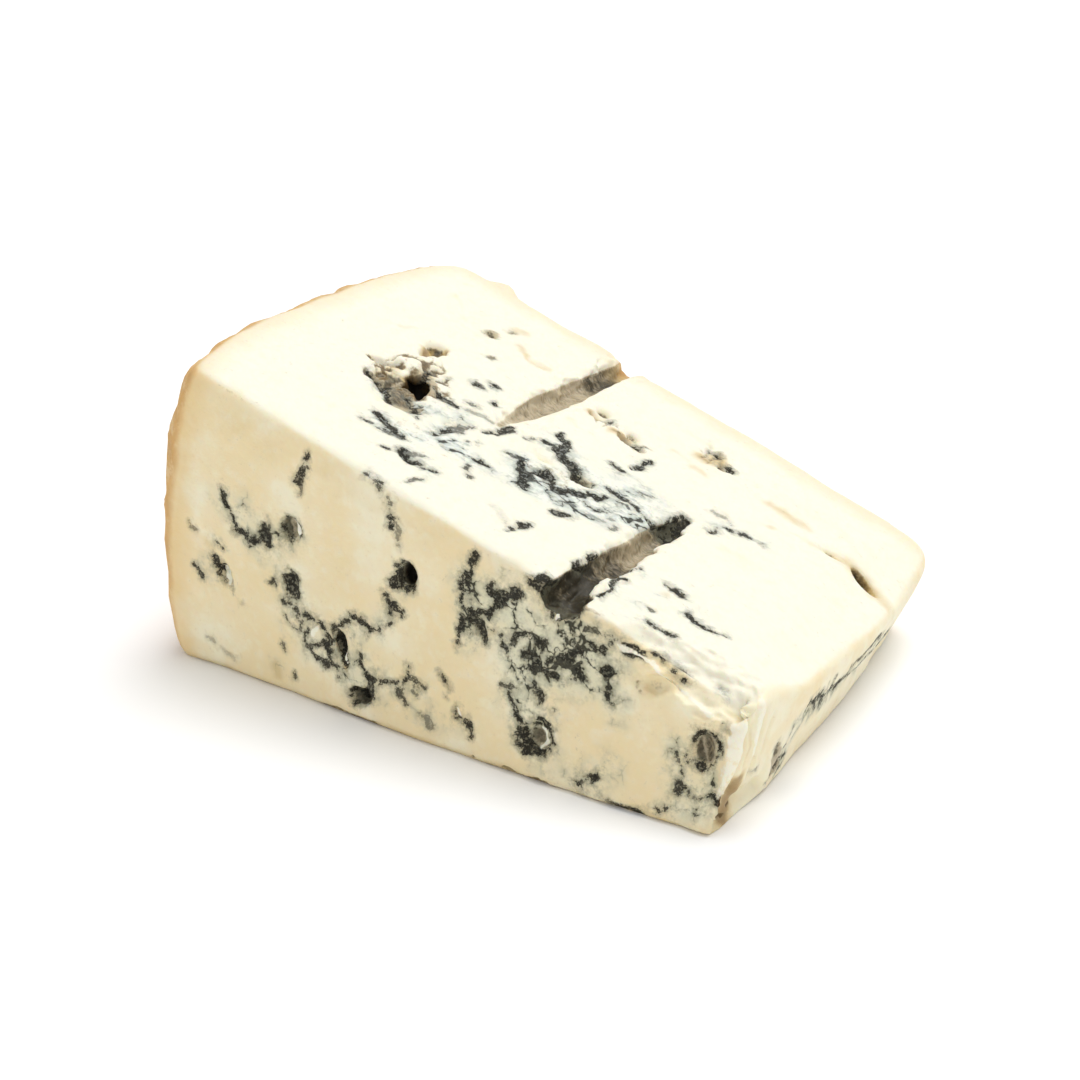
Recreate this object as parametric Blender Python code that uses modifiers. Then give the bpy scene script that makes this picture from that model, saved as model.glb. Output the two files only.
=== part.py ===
"""A wedge of soft blue cheese, lying on one of its two radial cut faces.

The wedge was cut from a half-height wheel. Its rim with the rind is at -X, its blunt tip at +X, the
flat rind face at +Y, and the cut through the middle of the wheel at -Y. The top is the other radial
cut, which falls towards the tip. Sizes are in millimetres from the foot of the front left corner, and
are turned into metres about the middle of the wedge's foot at the end.
"""

import math

import bmesh
import bpy
import numpy as np
from mathutils import Matrix, Vector, noise

MM = 0.001

# The block, in millimetres
FOOT_LENGTH = 104.5
DEPTH = 78.5
FRONT_HEIGHT_RIM = 53.1
FRONT_HEIGHT_TIP = 21.6
BACK_HEIGHT_RIM = 55.3
BACK_HEIGHT_TIP = 17.6
TOP_DOME = 0.9

# The rim: a barrel-shaped arc up the side, fullest low down and halfway back
RIM_RADIUS = 100.0
RIM_FULLEST_HEIGHT = 12.0
RIM_FRONT_OFFSET = -3.4
RIM_SIDE_BULGE = 4.4

# The tip: cut off, leaning out towards its top, and shorter at the back
TIP_LEAN_FRONT = 3.0
TIP_LEAN_BACK = 5.6
TIP_BACK_SETBACK = 4.8
TIP_BOW = 2.0
TIP_SHOULDER = 2.4
TIP_SHOULDER_LENGTH = 8.0

# The front face spreads at its foot where the soft paste has sagged
FRONT_SAG = 3.7
FRONT_SAG_START = 4.0
FRONT_SAG_FULL = 66.0
FRONT_SAG_HEIGHT = 26.0

# Rounding of the block's edges, each named by its sides: -1 is the low side of an axis, 1 the high side
EDGE_ROUNDING = {
    (-1, 0, 1): 5.0,
    (-1, 0, -1): 2.6,
    (-1, -1, 0): 2.0,
    (-1, 1, 0): 5.5,
    (1, 0, 1): 3.6,
    (1, 0, -1): 0.8,
    (1, -1, 0): 1.0,
    (1, 1, 0): 4.4,
    (0, -1, 1): 1.8,
    (0, 1, 1): 0.5,
    (0, -1, -1): 0.8,
    (0, 1, -1): 1.2,
}

# Where the top face's planes meet the rim and the tip along X, before rounding
RIM_TOP_FRONT = 9.9
RIM_TOP_BACK = 3.3
TIP_TOP_FRONT = 106.6
TIP_TOP_BACK = 101.5

# The wheel's needle channels run front to back
NEEDLE_RADIUS = 2.3
TROUGH_STEPS = 20

# Working meshes: the size of their faces, the triangles kept, and how far a cut reaches past a face
BODY_FACES = 1.5
FINE_FACES = 0.7
TRIANGLES_KEPT = 12600
BELOW_FOOT = 3.0
OVERSHOOT = 3.0
WELD = 0.01
SEED = Vector((3.7, 11.2, 5.9))

# Needle channels that the front cut shows end on: place along X and Z, half width, half height, depth
FRONT_HOLES = (
    (25.0, 30.0, 1.9, 2.4, 2.2),
    (48.3, 27.0, 1.6, 2.5, 5.0),
    (72.6, 7.0, 2.7, 2.6, 1.3),
    (100.9, 12.4, 1.7, 3.1, 1.5),
    (20.4, 28.2, 1.0, 1.9, 1.0),
    (10.6, 19.4, 1.0, 2.4, 1.8),
    (24.8, 20.6, 1.3, 2.0, 1.2),
    (35.2, 11.4, 1.1, 2.4, 2.6),
    (39.3, 3.6, 2.2, 1.7, 2.4),
    (61.2, 21.0, 1.5, 1.4, 1.2),
    (43.2, 41.0, 0.8, 1.6, 0.9),
)

# Hollows between the curds on the top: place along X and Y, half length, half width, depth, turn in degrees
TOP_HOLLOWS = (
    (29.4, 30.6, 2.3, 1.6, 4.2, 50.0),
    (26.0, 28.2, 4.4, 2.4, 1.5, 20.0),
    (22.8, 32.2, 2.4, 0.9, 1.5, 20.0),
    (24.2, 44.0, 2.5, 1.5, 2.6, 60.0),
    (40.3, 25.8, 2.8, 1.2, 0.9, 50.0),
    (54.5, 31.5, 4.4, 1.2, 1.2, -12.0),
    (61.0, 32.5, 3.0, 1.4, 1.3, 10.0),
    (51.6, 56.0, 2.5, 1.1, 2.0, -15.0),
    (58.4, 53.9, 2.8, 1.2, 2.0, -20.0),
    (67.6, 66.6, 1.8, 1.0, 1.7, 20.0),
    (72.4, 66.2, 2.2, 0.9, 1.4, -10.0),
    (27.4, 63.4, 1.8, 0.9, 1.1, 0.0),
    (34.6, 60.6, 3.6, 0.7, 0.9, -20.0),
    (84.6, 61.2, 4.6, 0.8, 1.2, -8.0),
    (96.0, 55.8, 3.6, 1.1, 1.8, 5.0),
    (102.2, 56.2, 4.2, 1.5, 2.6, -12.0),
)

# Creases between the smeared folds at the tip's front corner: place along Y, foot and head heights,
# radius, and how far the crease's middle stands out of the face
FOLD_CREASES = (
    (1.3, 4.0, 22.0, 1.15, 0.5),
    (2.6, 13.0, 23.0, 1.55, 0.2),
    (9.0, 7.0, 17.0, 0.85, 0.5),
    (12.6, 6.0, 15.0, 0.60, 0.5),
)
FOLD_STEPS = 8
FOLD_SLANT = 0.10

# The paste's relief: broad unevenness, knife drag and curd grain
BROAD_SWELL = 0.45
BROAD_SIZE = 21.0
LUMP_SWELL = 0.22
LUMP_SIZE = 6.5
RIND_LUMP = 0.4
RIND_LUMP_SIZE = 9.0

# Craggy ground between the curds: a middle on the wedge, its reach along each axis, and the depth
CRAG_GRAIN = 2.6
CRAGS = (
    ((27.0, 28.5, 47.5), (7.0, 6.5, 4.0), 2.2),
    ((39.5, 24.0, 43.4), (6.0, 7.5, 4.0), 0.9),
    ((57.5, 31.0, 36.5), (8.5, 7.0, 4.0), 1.3),
    ((67.0, 34.0, 32.0), (7.0, 5.0, 4.0), 0.6),
    ((46.0, 55.0, 39.0), (7.0, 8.0, 4.0), 0.4),
    ((83.0, 61.5, 24.5), (8.0, 2.6, 4.0), 1.0),
    ((99.0, 56.5, 18.5), (8.0, 2.6, 4.0), 1.1),
    ((30.5, -0.5, 13.0), (6.5, 3.0, 6.5), 1.1),
    ((69.0, -1.0, 24.0), (11.0, 3.0, 8.0), 0.9),
    ((76.5, 2.0, 30.0), (6.0, 5.0, 4.0), 0.9),
    ((105.0, 4.0, 4.0), (4.0, 7.0, 4.5), 1.1),
)

# A flake of rind that stands up on the back edge
FLAKE_PLACE = (16.8, 79.0, 50.2)
FLAKE_REACH = (4.8, 3.0, 3.0)
FLAKE_HEIGHT = 1.5

# The finished box of the part
BOX_LENGTH = 116.6
BOX_DEPTH = 83.2
BOX_HEIGHT = 55.8


def lerp(start, end, share):
    """The value a share of the way from start to end."""
    return start + (end - start) * share


def smooth_step(start, end, value):
    """0 before start, 1 after end, and an even S between."""
    share = min(1.0, max(0.0, (value - start) / (end - start)))
    return share * share * (3.0 - 2.0 * share)


def rim_x(y, z):
    """The rim's place along X at a depth and a height."""
    up = (z - RIM_FULLEST_HEIGHT) / RIM_RADIUS
    arc = RIM_RADIUS * (1.0 - math.sqrt(1.0 - up * up))
    across = (y - DEPTH / 2) / (DEPTH / 2)
    return RIM_FRONT_OFFSET + arc - RIM_SIDE_BULGE * (1.0 - across ** 4)


def tip_x(y, z):
    """The tip's place along X at a depth and a height."""
    back = y / DEPTH
    bow = TIP_BOW * 4.0 * back * (1.0 - back)
    up = z / lerp(FRONT_HEIGHT_TIP, BACK_HEIGHT_TIP, back)
    lean = lerp(TIP_LEAN_FRONT, TIP_LEAN_BACK, back) * min(1.0, max(0.0, up))
    return FOOT_LENGTH - TIP_BACK_SETBACK * back + bow + lean


def top_z(x, y):
    """The height of the top face, which falls to the tip and is twisted a little."""
    back = y / DEPTH
    rim = lerp(RIM_TOP_FRONT, RIM_TOP_BACK, back)
    tip = lerp(TIP_TOP_FRONT, TIP_TOP_BACK, back)
    along = (x - rim) / (tip - rim)
    height_rim = lerp(FRONT_HEIGHT_RIM, BACK_HEIGHT_RIM, back)
    height_tip = lerp(FRONT_HEIGHT_TIP, BACK_HEIGHT_TIP, back)
    inside = min(1.0, max(0.0, along))
    dome = TOP_DOME * 4.0 * back * (1.0 - back) * (1.0 - inside)
    shoulder = smooth_step(tip - TIP_SHOULDER_LENGTH, tip + 1.0, x) ** 2
    shoulder *= smooth_step(6.0, 20.0, y) * (1.0 - smooth_step(58.0, 74.0, y))
    return lerp(height_rim, height_tip, along) + dome - TIP_SHOULDER * shoulder


def front_y(x, z):
    """The front face's place along Y: upright near the rim, spread at the foot towards the tip."""
    sag = smooth_step(FRONT_SAG_START, FRONT_SAG_FULL, x)
    height = max(0.0, 1.0 - z / FRONT_SAG_HEIGHT)
    return -FRONT_SAG * sag * height ** 1.6


def in_block(u, v, w):
    """The point of the wedge at shares u from rim to tip, v from front to back and w up."""
    y = v * DEPTH
    z = w * lerp(FRONT_HEIGHT_RIM, FRONT_HEIGHT_TIP, u)
    x = lerp(rim_x(y, z), tip_x(y, z), u)
    y = lerp(front_y(x, z), DEPTH, v)
    return Vector((x, y, w * top_z(x, y)))


def new_object(name, mesh, collection):
    """An object in a collection."""
    thing = bpy.data.objects.new(name, mesh)
    collection.objects.link(thing)
    return thing


def evaluated_mesh(thing):
    """A new mesh of an object with its modifiers applied."""
    graph = bpy.context.evaluated_depsgraph_get()
    graph.update()
    return bpy.data.meshes.new_from_object(thing.evaluated_get(graph), depsgraph=graph)


def rounded_block():
    """A box of the wedge's nominal size, corner at the origin, with a bevel weight on each edge."""
    size = Vector((FOOT_LENGTH, DEPTH, FRONT_HEIGHT_RIM))
    shape = bmesh.new()
    bmesh.ops.create_cube(shape, size=1.0)
    weight = shape.edges.layers.float.new("bevel_weight_edge")
    widest = max(EDGE_ROUNDING.values())
    for edge in shape.edges:
        middle = edge.verts[0].co + edge.verts[1].co
        edge[weight] = EDGE_ROUNDING[tuple(round(side) for side in middle)] / widest
    bmesh.ops.translate(shape, vec=(0.5, 0.5, 0.5), verts=shape.verts)
    bmesh.ops.scale(shape, vec=size, verts=shape.verts)
    mesh = bpy.data.meshes.new("block")
    shape.to_mesh(mesh)
    shape.free()
    return mesh


def add_bevel(thing):
    """Rounds the block's edges by their weights."""
    bevel = thing.modifiers.new("Rounding", "BEVEL")
    bevel.width = max(EDGE_ROUNDING.values())
    bevel.segments = 6
    bevel.limit_method = "WEIGHT"


def add_remesh(thing, voxel):
    """Makes even small faces over an object."""
    remesh = thing.modifiers.new("Even faces", "REMESH")
    remesh.mode = "VOXEL"
    remesh.voxel_size = voxel
    remesh.use_smooth_shade = True


def warped_block(collection):
    """The wedge's plain body, in millimetres, reaching below its foot."""
    plain = new_object("block", rounded_block(), collection)
    add_bevel(plain)
    add_remesh(plain, BODY_FACES)
    mesh = evaluated_mesh(plain)
    bpy.data.objects.remove(plain)
    for vertex in mesh.vertices:
        share = Vector((
            vertex.co.x / FOOT_LENGTH,
            vertex.co.y / DEPTH,
            vertex.co.z / FRONT_HEIGHT_RIM,
        ))
        vertex.co = in_block(*share)
        if share.z < 0.5:
            vertex.co.z -= BELOW_FOOT * (1.0 - smooth_step(0.0, 0.02, share.z))
    return new_object("body", mesh, collection)


def on_top(x, y, above=0.0):
    """A point over the top face."""
    return Vector((x, y, top_z(x, y) + above))


def on_front(x, z, out=0.0):
    """A point before the front face."""
    return Vector((x, front_y(x, z) - out, z))


def on_tip(y, z, out=0.0):
    """A point outside the tip's face."""
    return Vector((tip_x(y, z) + out, y, z))


def roughened(mesh, depth, size, seed):
    """Makes a cutter uneven, by moving its vertices along their normals."""
    offset = SEED * seed
    moves = [noise.noise(v.co / size + offset) * depth for v in mesh.vertices]
    for vertex, move in zip(mesh.vertices, moves):
        vertex.co += vertex.normal * move
    return mesh


def pit(name, place, radii, collection, seed, turn=0.0, lean=0.0):
    """A cutter like an uneven pebble, turned about Z, then leant about Y."""
    shape = bmesh.new()
    bmesh.ops.create_icosphere(shape, subdivisions=3, radius=1.0)
    bmesh.ops.scale(shape, vec=radii, verts=shape.verts)
    mesh = bpy.data.meshes.new(name)
    shape.to_mesh(mesh)
    shape.free()
    roughened(mesh, min(radii) * 0.55, min(radii) * 1.3, seed)
    turned = Matrix.Rotation(math.radians(turn), 4, "Z")
    leant = Matrix.Rotation(math.radians(lean), 4, "Y")
    mesh.transform(Matrix.Translation(place) @ leant @ turned)
    return cutter(name, mesh, collection)


def channel(name, points, radii, collection, seed, rough=0.5):
    """A cutter like a worn tube through a list of points, with a radius at each."""
    line = bpy.data.curves.new(name, "CURVE")
    line.dimensions = "3D"
    line.bevel_depth = 1.0
    line.bevel_resolution = 3
    line.use_fill_caps = True
    spline = line.splines.new("POLY")
    spline.points.add(len(points) - 1)
    for point, place, radius in zip(spline.points, points, radii):
        point.co = (*place, 1.0)
        point.radius = radius
    tube = new_object(name, line, collection)
    mesh = evaluated_mesh(tube)
    bpy.data.objects.remove(tube)
    shape = bmesh.new()
    shape.from_mesh(mesh)
    bmesh.ops.remove_doubles(shape, verts=shape.verts, dist=0.001)
    bmesh.ops.recalc_face_normals(shape, faces=shape.faces)
    shape.to_mesh(mesh)
    shape.free()
    roughened(mesh, rough, 2.2, seed)
    return cutter(name, mesh, collection)


def cutter(name, mesh, collection):
    """A cutter object, left out of the part."""
    thing = new_object(name, mesh, collection)
    thing.display_type = "WIRE"
    thing.hide_render = True
    return thing


def along_surface(place, starts, ends, steps, above):
    """Points on a surface from one place to another, a little above or below it."""
    return [
        place(lerp(starts[0], ends[0], i / steps), lerp(starts[1], ends[1], i / steps), above)
        for i in range(steps + 1)
    ]


def needle_troughs(collection):
    """The two needle channels that the top cut has laid open, and the front one's mouth."""
    steps = TROUGH_STEPS
    back = along_surface(on_top, (44.3, 31.0), (44.8, DEPTH + OVERSHOOT), steps, -0.2)
    back_radii = [NEEDLE_RADIUS * lerp(0.25, 1.0, smooth_step(0, 7, i)) for i in range(steps + 1)]
    channel("trough back", back, back_radii, collection, 1)
    front = along_surface(on_top, (76.2, -OVERSHOOT), (77.0, 41.0), steps, -0.9)
    front_radii = [
        NEEDLE_RADIUS * (1.1 - 0.75 * smooth_step(14, steps, i)) for i in range(steps + 1)
    ]
    channel("trough front", front, front_radii, collection, 2)
    mouth = [on_front(77.0, 30.0, 1.5), on_front(75.8, 29.6, -3.0), on_front(75.4, 29.8, -8.0)]
    channel("trough mouth", mouth, (3.4, 3.0, 2.0), collection, 3)


def needle_holes(collection):
    """The holes in the front face."""
    for i, (x, z, wide, high, deep) in enumerate(FRONT_HOLES):
        pit(f"front hole {i}", on_front(x, z), (wide, deep, high), collection, 10 + i)


def top_hollows(collection):
    """The hollows in the top face, leant as the face falls."""
    fall = math.degrees(math.atan2(FRONT_HEIGHT_RIM - FRONT_HEIGHT_TIP, FOOT_LENGTH))
    for i, (x, y, long, wide, deep, turn) in enumerate(TOP_HOLLOWS):
        pit(f"hollow {i}", on_top(x, y), (long, wide, deep), collection, 30 + i, turn, fall)


def tip_folds(collection):
    """The creases between the tip's folds, the recess at their foot, and the pocket beside them."""
    for i, (y, low, high, radius, out) in enumerate(FOLD_CREASES):
        points = []
        for step in range(FOLD_STEPS + 1):
            share = step / FOLD_STEPS
            slant = -FOLD_SLANT * (1.0 - share) * (high - low)
            points.append(on_tip(y + slant, lerp(low, high, share), out))
        channel(f"crease {i}", points, [radius] * (FOLD_STEPS + 1), collection, 50 + i, rough=0.25)
    pit("fold foot", on_tip(5.6, 3.0, 0.6), (2.4, 5.6, 2.7), collection, 57)
    pit("fold front", on_front(102.6, 11.0, 0.5), (0.7, 0.9, 8.5), collection, 59)
    pit("shell pocket", on_front(92.6, 19.7, 0.4), (3.6, 1.5, 1.4), collection, 58, lean=-12.0)


def tip_track(collection):
    """The needle channel that breaks through the tip's face low down."""
    steps = TROUGH_STEPS // 2
    points = along_surface(on_tip, (22.0, 9.8), (75.0, 1.6), steps, 0.4)
    radii = [lerp(0.5, 0.95, math.sin(math.pi * i / steps)) for i in range(steps + 1)]
    channel("tip track", points, radii, collection, 60, rough=0.25)


def cut_body(body, cutters):
    """Takes every cutter out of the body, and makes the faces even and small again."""
    boolean = body.modifiers.new("Hollows", "BOOLEAN")
    boolean.operation = "DIFFERENCE"
    boolean.operand_type = "COLLECTION"
    boolean.collection = cutters
    boolean.solver = "EXACT"
    boolean.use_self = True
    add_remesh(body, FINE_FACES)
    return evaluated_mesh(body)


def rind_share(point):
    """How far a point is on the rind: 1 on the rim and the back, 0 on the cuts."""
    rim = 1.0 - smooth_step(0.5, 3.0, point.x - rim_x(point.y, point.z))
    back = smooth_step(DEPTH - 2.0, DEPTH - 0.3, point.y)
    return max(rim, back)


def swell(mesh):
    """Moves the surface in and out: broad swells, small lumps, and the rind's own lumps."""
    moves = []
    for vertex in mesh.vertices:
        point = vertex.co
        broad = noise.noise(point / BROAD_SIZE + SEED) * BROAD_SWELL
        lumps = noise.noise(point / LUMP_SIZE - SEED) * LUMP_SWELL
        rind = rind_share(point)
        stretched = Vector((point.x, point.y * 0.6, point.z)) / RIND_LUMP_SIZE
        rind_lumps = noise.turbulence(stretched, 3, False) * RIND_LUMP * rind
        moves.append(vertex.normal * (broad + lumps + rind_lumps))
    for vertex, move in zip(mesh.vertices, moves):
        vertex.co += move


def nearness(point, middle, reach):
    """1 at the middle of a patch, 0 past its reach."""
    away = Vector(((p - m) / r for p, m, r in zip(point, middle, reach))).length
    return 1.0 - smooth_step(0.35, 1.0, away)


def crumble(mesh):
    """Breaks up the surface in the craggy patches, and raises the flake of rind."""
    moves = []
    for vertex in mesh.vertices:
        point = vertex.co
        depth = sum(nearness(point, middle, reach) * deep for middle, reach, deep in CRAGS)
        grain = noise.turbulence(point / CRAG_GRAIN + SEED, 3, True)
        raised = nearness(point, FLAKE_PLACE, FLAKE_REACH) * FLAKE_HEIGHT
        moves.append(vertex.normal * (raised - depth * max(0.0, grain - 0.35)))
    for vertex, move in zip(mesh.vertices, moves):
        vertex.co += move


def lightened(mesh, collection):
    """The same shape with far fewer triangles, small ones only where there is relief."""
    dense = new_object("dense", mesh, collection)
    full = sum(len(polygon.vertices) - 2 for polygon in mesh.polygons)
    decimate = dense.modifiers.new("Fewer faces", "DECIMATE")
    decimate.ratio = TRIANGLES_KEPT / full
    decimate.use_collapse_triangulate = True
    light = evaluated_mesh(dense)
    bpy.data.objects.remove(dense)
    return light


def drop_scraps(shape):
    """Removes the loose crumbs that the hollows leave, so that the wedge is one body."""
    shape.verts.ensure_lookup_table()
    shape.verts.index_update()
    piece_of = [None] * len(shape.verts)
    sizes = []
    for start in shape.verts:
        if piece_of[start.index] is not None:
            continue
        piece = len(sizes)
        piece_of[start.index] = piece
        reached = [start]
        for vertex in reached:
            for edge in vertex.link_edges:
                other = edge.other_vert(vertex)
                if piece_of[other.index] is None:
                    piece_of[other.index] = piece
                    reached.append(other)
        sizes.append(len(reached))
    largest = sizes.index(max(sizes))
    crumbs = [vertex for vertex in shape.verts if piece_of[vertex.index] != largest]
    bmesh.ops.delete(shape, geom=crumbs, context="VERTS")


def flat_foot(mesh):
    """Cuts the foot off level at height 0, so that the wedge has a true flat face to lie on."""
    shape = bmesh.new()
    shape.from_mesh(mesh)
    drop_scraps(shape)
    everything = shape.verts[:] + shape.edges[:] + shape.faces[:]
    bmesh.ops.bisect_plane(
        shape, geom=everything, dist=WELD, plane_co=(0, 0, 0), plane_no=(0, 0, 1), clear_inner=True
    )
    for vertex in shape.verts:
        if abs(vertex.co.z) <= WELD:
            vertex.co.z = 0.0
    rim = [edge for edge in shape.edges if edge.is_boundary]
    bmesh.ops.holes_fill(shape, edges=rim)
    bmesh.ops.triangulate(shape, faces=shape.faces)
    bmesh.ops.remove_doubles(shape, verts=shape.verts, dist=WELD)
    bmesh.ops.dissolve_degenerate(shape, edges=shape.edges, dist=WELD)
    bmesh.ops.triangulate(shape, faces=shape.faces)
    bmesh.ops.recalc_face_normals(shape, faces=shape.faces)
    shape.to_mesh(mesh)
    shape.free()


def settled(mesh):
    """Sets the wedge to its finished box, in metres, the middle of its foot at the origin."""
    count = len(mesh.vertices)
    points = np.empty(count * 3)
    mesh.vertices.foreach_get("co", points)
    points = points.reshape(count, 3)
    low = points.min(axis=0)
    high = points.max(axis=0)
    box = np.array((BOX_LENGTH, BOX_DEPTH, BOX_HEIGHT))
    middle = (low + high) / 2
    middle[2] = low[2]
    points = (points - middle) * (box / (high - low)) * MM
    mesh.vertices.foreach_set("co", points.ravel())
    mesh.update()


def paste_material():
    """Pale cream paste."""
    material = bpy.data.materials.new("cheese_paste")
    material.use_nodes = True
    shader = material.node_tree.nodes["Principled BSDF"]
    shader.inputs["Base Color"].default_value = (0.86, 0.78, 0.60, 1.0)
    shader.inputs["Roughness"].default_value = 0.5
    shader.inputs["Metallic"].default_value = 0.0
    return material


def main():
    """Builds the wedge."""
    for thing in list(bpy.data.objects):
        bpy.data.objects.remove(thing)
    scene = bpy.context.scene.collection
    part = bpy.data.collections.new("gorgonzola_wedge")
    cutters = bpy.data.collections.new("cutters")
    scene.children.link(part)
    scene.children.link(cutters)

    body = warped_block(part)
    needle_troughs(cutters)
    needle_holes(cutters)
    top_hollows(cutters)
    tip_folds(cutters)
    tip_track(cutters)
    mesh = cut_body(body, cutters)
    for thing in [body, *cutters.objects]:
        bpy.data.objects.remove(thing)

    swell(mesh)
    crumble(mesh)
    mesh = lightened(mesh, part)
    flat_foot(mesh)
    settled(mesh)
    mesh.shade_smooth()
    mesh.materials.clear()
    mesh.materials.append(paste_material())
    mesh.name = "gorgonzola_wedge"
    new_object("gorgonzola_wedge", mesh, part)


main()
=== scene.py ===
"""A wedge of soft blue-veined cheese: marbled paste, golden rind and a soft white studio.

Lengths inside the wedge's own classes are in millimetres, measured from the foot of its front left
corner: x runs from the rim to the tip, y from the front cut to the rind at the back, z up. Finished
meshes are in metres, in the part's frame.
"""

import logging
import math
from dataclasses import dataclass, field
from enum import Enum
from typing import Any

import bmesh
import bpy
import numpy as np
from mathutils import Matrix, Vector, noise


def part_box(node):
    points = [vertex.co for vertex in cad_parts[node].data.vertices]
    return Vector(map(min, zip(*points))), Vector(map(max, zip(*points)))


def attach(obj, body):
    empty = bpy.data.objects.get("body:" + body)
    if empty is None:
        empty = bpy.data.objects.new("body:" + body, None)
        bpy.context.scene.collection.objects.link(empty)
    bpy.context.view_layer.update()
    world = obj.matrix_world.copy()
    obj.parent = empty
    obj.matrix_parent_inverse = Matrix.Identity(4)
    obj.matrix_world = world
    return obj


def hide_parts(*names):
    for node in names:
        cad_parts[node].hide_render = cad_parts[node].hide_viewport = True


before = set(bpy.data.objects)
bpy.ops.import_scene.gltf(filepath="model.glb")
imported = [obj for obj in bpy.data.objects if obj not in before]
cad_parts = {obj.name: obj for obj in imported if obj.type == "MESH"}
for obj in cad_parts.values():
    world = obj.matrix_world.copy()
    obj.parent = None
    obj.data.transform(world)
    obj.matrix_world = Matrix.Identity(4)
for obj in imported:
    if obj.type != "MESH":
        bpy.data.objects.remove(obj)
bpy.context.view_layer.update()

logging.basicConfig(level=logging.INFO, format="%(message)s")
log = logging.getLogger("cheese")

MILLIMETRE = 0.001
Pair = tuple[float, float]
Triple = tuple[float, float, float]
Tone = tuple[int, int, int]
Values = dict[str, np.ndarray]
Depths = dict["Face", np.ndarray]
Sockets = dict[Any, Any]


class Face(Enum):
    """A side of the wedge."""

    FRONT = "front cut, toward the camera"
    BACK = "flat rind at the back"
    TOP = "sloping top cut"
    FOOT = "hidden cut that the wedge lies on"
    TIP = "blunt tip"
    RIM = "bulged rim with the rind"


class Mark(Enum):
    """What a stroke leaves in the paste."""

    VEIN = "dark mould that fills a crack"
    # Haze is mostly real; one stroke paints shade in a crease by the tip.
    SMOKE = "soft grey-green haze round the mould"
    # Most stains are real; some strokes paint shade in hollows, under a ledge and along the foot.
    STAIN_AND_SHADE = "khaki or tan stain"
    LINING = "grey-brown felt of mould on broken paste"
    FELT = "the same felt, only down in a needle channel"
    # Cracks sink into the paste, and their brown to black colour is partly painted shade in the crevice.
    CRACK = "brown crack between crumbs"
    # Most crumbs are real; some strokes paint light on the ridges of the corner lobes.
    CRUMB_AND_LIGHT = "clean pale crumb that stands out of the mould"

    def stroke(self, strength: float, *points: Triple) -> "Stroke":
        """A stroke of this kind through some points."""
        return Stroke(self, strength, points)


# How fast a mark fades with its depth under the face, and how soft its edge is.
SINKING = {Mark.LINING: 0.12, Mark.FELT: 0.05, Mark.CRACK: 0.3}
SOFTNESS = {Mark.SMOKE: 1.0, Mark.STAIN_AND_SHADE: 0.8, Mark.LINING: 0.3, Mark.FELT: 0.9}
USUAL_SINKING = 0.6
USUAL_SOFTNESS = 0.6
# Reach in mm of a place that is far from every mark.
FAR_OUTSIDE = -9.0


@dataclass(frozen=True)
class Stroke:
    """A mark drawn on one face, as a line of points with a half width at each."""

    mark: Mark
    strength: float
    points: tuple[Triple, ...]

    def reach(self, across: np.ndarray, along: np.ndarray, depth: np.ndarray) -> np.ndarray:
        """How far inside the mark each place is.

        Args:
            across: first coordinate on the face, in mm.
            along: second coordinate on the face, in mm.
            depth: distance under the face, in mm.
        Returns:
            Half width less distance in mm, so it is above zero inside the mark.
        """
        best = np.full(across.shape, FAR_OUTSIDE)
        sinking = SINKING.get(self.mark, USUAL_SINKING)
        points = self.points if len(self.points) > 1 else self.points * 2
        for (u0, v0, w0), (u1, v1, w1) in zip(points, points[1:]):
            du = u1 - u0
            dv = v1 - v0
            length = du * du + dv * dv
            share = 0.0
            if length > 0:
                share = np.clip(((across - u0) * du + (along - v0) * dv) / length, 0, 1)
            off_u = across - u0 - share * du
            off_v = along - v0 - share * dv
            distance = np.sqrt(off_u**2 + off_v**2 + (sinking * depth)**2)
            best = np.maximum(best, w0 + share * (w1 - w0) - distance)
        return best


vein = Mark.VEIN.stroke
smoke = Mark.SMOKE.stroke
stain_and_shade = Mark.STAIN_AND_SHADE.stroke
lining = Mark.LINING.stroke
felt = Mark.FELT.stroke
crack = Mark.CRACK.stroke
crumb_and_light = Mark.CRUMB_AND_LIGHT.stroke


def ring(strength: float, centre: Pair, radii: Pair, half_width: float,
         gap: Pair = (0.0, 0.0)) -> Stroke:
    """A dark outline round a hole.

    Args:
        strength: how dark it is.
        centre: middle of the hole.
        radii: half the hole's width and height.
        half_width: half width of the line, which varies round the ring.
        gap: first and last angle in degrees of a stretch that is left open.
    Returns:
        The outline as one stroke.
    """
    sides = 12
    unevenness = 0.35
    sweep = 360 + gap[0] - gap[1]
    points = []
    for step in range(sides + 1):
        angle = math.radians(gap[1] + sweep * step / sides)
        width = half_width * (1 + unevenness * math.sin(3 * angle + centre[0]))
        points.append((centre[0] + radii[0] * math.cos(angle), centre[1] + radii[1] * math.sin(angle), width))
    return vein(strength, *points)


def feathers(start: Pair, stop: Pair, count: int, height: float,
             half_width: float) -> tuple[Stroke, ...]:
    """Short upright streaks side by side, as a wire drags mould along a cut.

    Args:
        start: foot of the first streak.
        stop: foot of the last streak.
        count: number of streaks.
        height: length of a streak.
        half_width: half width at its middle.
    Returns:
        The streaks.
    """
    streaks = []
    for number in range(count):
        share = number / (count - 1)
        wobble = math.sin(number * 2.4)
        across = start[0] + (stop[0] - start[0]) * share
        along = start[1] + (stop[1] - start[1]) * share + 0.5 * wobble
        tall = height * (0.8 + 0.35 * math.cos(number * 1.7))
        width = half_width * (1 + 0.4 * wobble)
        streaks.append(vein(0.75 + 0.2 * wobble, (across, along - 0.5 * tall, 0.1),
                            (across + 0.1, along, width), (across + 0.3, along + 0.5 * tall, 0.1)))
    return tuple(streaks)


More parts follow.
